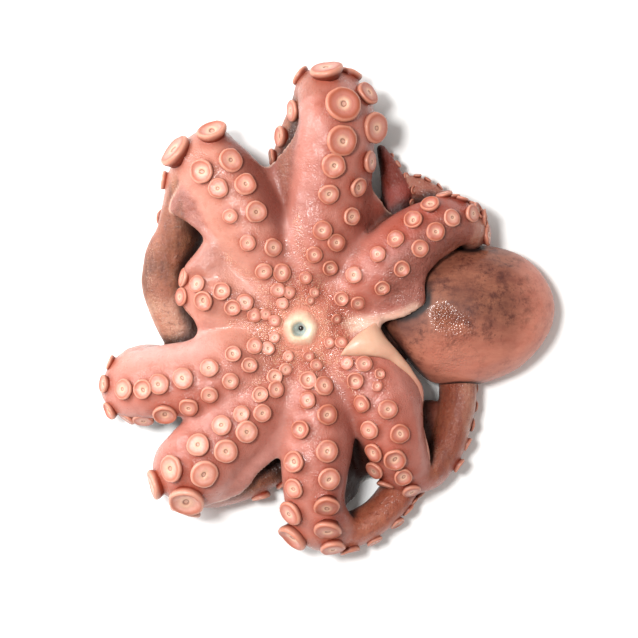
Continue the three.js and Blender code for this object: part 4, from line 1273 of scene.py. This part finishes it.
# The torn web's other half, folded back with its pale inner side up
def folded_middle(t, v):
    outer, middle, inner = (along_path(line, t) for line in (FOLDED_OUTER, FOLDED_MIDDLE, FOLDED_INNER))
    w = v[..., None]
    return outer * (1 - w) * (1 - 2 * w) + middle * 4 * w * (1 - w) + inner * w * (2 * w - 1)


points, quads, _ = sheet_form(folded_middle, 2.6, 70, 16, 0.25)
corners = points[quads]
area = np.cross(corners[:, 2] - corners[:, 0], corners[:, 3] - corners[:, 1])
if np.sum(area * (corners.mean(1) - points.mean(0))) < 0:
    quads = quads[:, ::-1]
rosy = 0.6 * step(-30, -42, points[:, 1])
points = points + wobble(points, 9, 9) * 0.5
part_of("folded_web", new_mesh("folded_web", points, quads, cream_material(), rosy=rosy),
        "octopus")

# Mouth: rings of radius, height over the mouth's own and how far out the colour counts
MOUTH_RINGS = [(0.8, -4.4, 0.1), (1.3, -3.2, 0.2), (2.2, -2.7, 0.25), (3.0, -2.0, 0.29),
               (3.6, -1.1, 0.35), (4.2, -0.2, 0.4), (5.2, 0.3, 0.48), (6.8, 0.4, 0.6),
               (8.6, 0.2, 0.75), (10.2, -0.15, 0.88), (11.6, -0.7, 0.96), (12.6, -1.4, 1.02),
               (12.8, -5, 1.2)]
RIM_AT = 13
# Beak: rings of radius and height over the mouth's own
BEAK_RINGS = [(3.0, -9.6), (3.0, -5.6), (2.3, -4.4), (1.5, -3.2), (0.6, -2.6)]


def flesh_height(x, y):
    """How high the flesh's upper surface is at places in the plan."""
    heights = np.arange(52, 34, -0.25)
    spots = np.stack(np.broadcast_arrays(x[:, None], y[:, None], heights[None]), -1).reshape(-1, 3)
    inside = sampled(plain_field, spots).reshape(len(x), -1) < 0
    return heights[np.argmax(inside, axis=1)]


def lips(sides=64):
    """The puckered lips, whose hole leans a little and whose rim follows the flesh."""
    turn = np.arange(sides) * 2 * math.pi / sides
    rim = flesh_height(MOUTH[0] + RIM_AT * np.cos(turn), MOUTH[1] + RIM_AT * np.sin(turn))
    pucker = 1 + 0.03 * np.sin(5 * turn + 0.6)
    rows, ring = [], []
    for radius, height, share in MOUTH_RINGS:
        lean = 0.8 * step(1.4, 2.6, radius) * step(6.5, 4.5, radius)
        tucked = 4 * (radius == MOUTH_RINGS[-1][0])
        rows.append(np.stack([MOUTH[0] - lean + radius * pucker * np.cos(turn),
                              MOUTH[1] - lean + radius * pucker * np.sin(turn),
                              mix(MOUTH[2] + height, rim, step(6, 12, radius)) - tucked], -1))
        ring += [share] * sides
    points, quads, fans = closed_rows(np.array(rows))
    return new_mesh("mouth", points, outside(quads, fans), mouth_material(), ring=ring + [0.1, 1.2])


def beak(sides=24):
    turn = np.arange(sides) * 2 * math.pi / sides
    rows = [np.stack([MOUTH[0] + r * np.cos(turn), MOUTH[1] + r * np.sin(turn),
                      np.full(sides, MOUTH[2] + h)], -1) for r, h in BEAK_RINGS]
    points, quads, fans = closed_rows(np.array(rows))
    return new_mesh("beak", points, quads.tolist() + fans.tolist(), beak_material())


part_of("mouth", lips(), "octopus")
part_of("beak", beak(), "beak")

# Stage: the camera looks straight down, and its view is as wide as the photograph
PHOTO_PIXELS = 638
MM_PER_PIXEL = 0.55
CAMERA_PLACE = np.array([-4.7, -3.0, 1600.0]) * MM
SHARP_HEIGHT = 30 * MM
FLOOR_HALF = 2000
view = bpy.data.cameras.new("camera")
view.sensor_width = 36
view.lens = view.sensor_width * (CAMERA_PLACE[2] - SHARP_HEIGHT) / (PHOTO_PIXELS * MM_PER_PIXEL * MM)
view.clip_end = 10
camera = bpy.data.objects.new("camera", view)
camera.location = CAMERA_PLACE
bpy.context.scene.collection.objects.link(camera)
bpy.context.scene.camera = camera

corners = [(x * FLOOR_HALF, y * FLOOR_HALF, 0) for x, y in ((-1, -1), (1, -1), (1, 1), (-1, 1))]
floor = show("floor", new_mesh("floor", corners, [(0, 1, 2, 3)], None))
paper = Nodes("paper")
paper.shader.inputs["Base Color"].default_value = (0.98, 0.98, 0.965, 1)
paper.shader.inputs["Roughness"].default_value = 0.8
floor.data.materials.append(paper.material)


def area_light(name, place, aim, size, power, tint=(1, 1, 1)):
    lamp = bpy.data.lights.new(name, "AREA")
    lamp.shape = "DISK"
    lamp.size = size
    lamp.energy = power
    lamp.color = tint
    made = bpy.data.objects.new(name, lamp)
    made.location = place
    made.rotation_euler = (Vector(aim) - Vector(place)).to_track_quat("-Z", "Y").to_euler()
    bpy.context.scene.collection.objects.link(made)


area_light("key", (-0.4, 0.17, 1.4), (0, 0, 0), 0.3, 18)
area_light("window", (-1.2, 0.5, 0.75), (0, 0, 0), 0.8, 19, (0.96, 0.98, 1))
world = bpy.data.worlds.new("room")
world.use_nodes = True
world.node_tree.nodes["Background"].inputs[0].default_value = (0.98, 0.98, 0.96, 1)
world.node_tree.nodes["Background"].inputs[1].default_value = 0.5
bpy.context.scene.world = world
bpy.context.scene.view_settings.view_transform = "Standard"
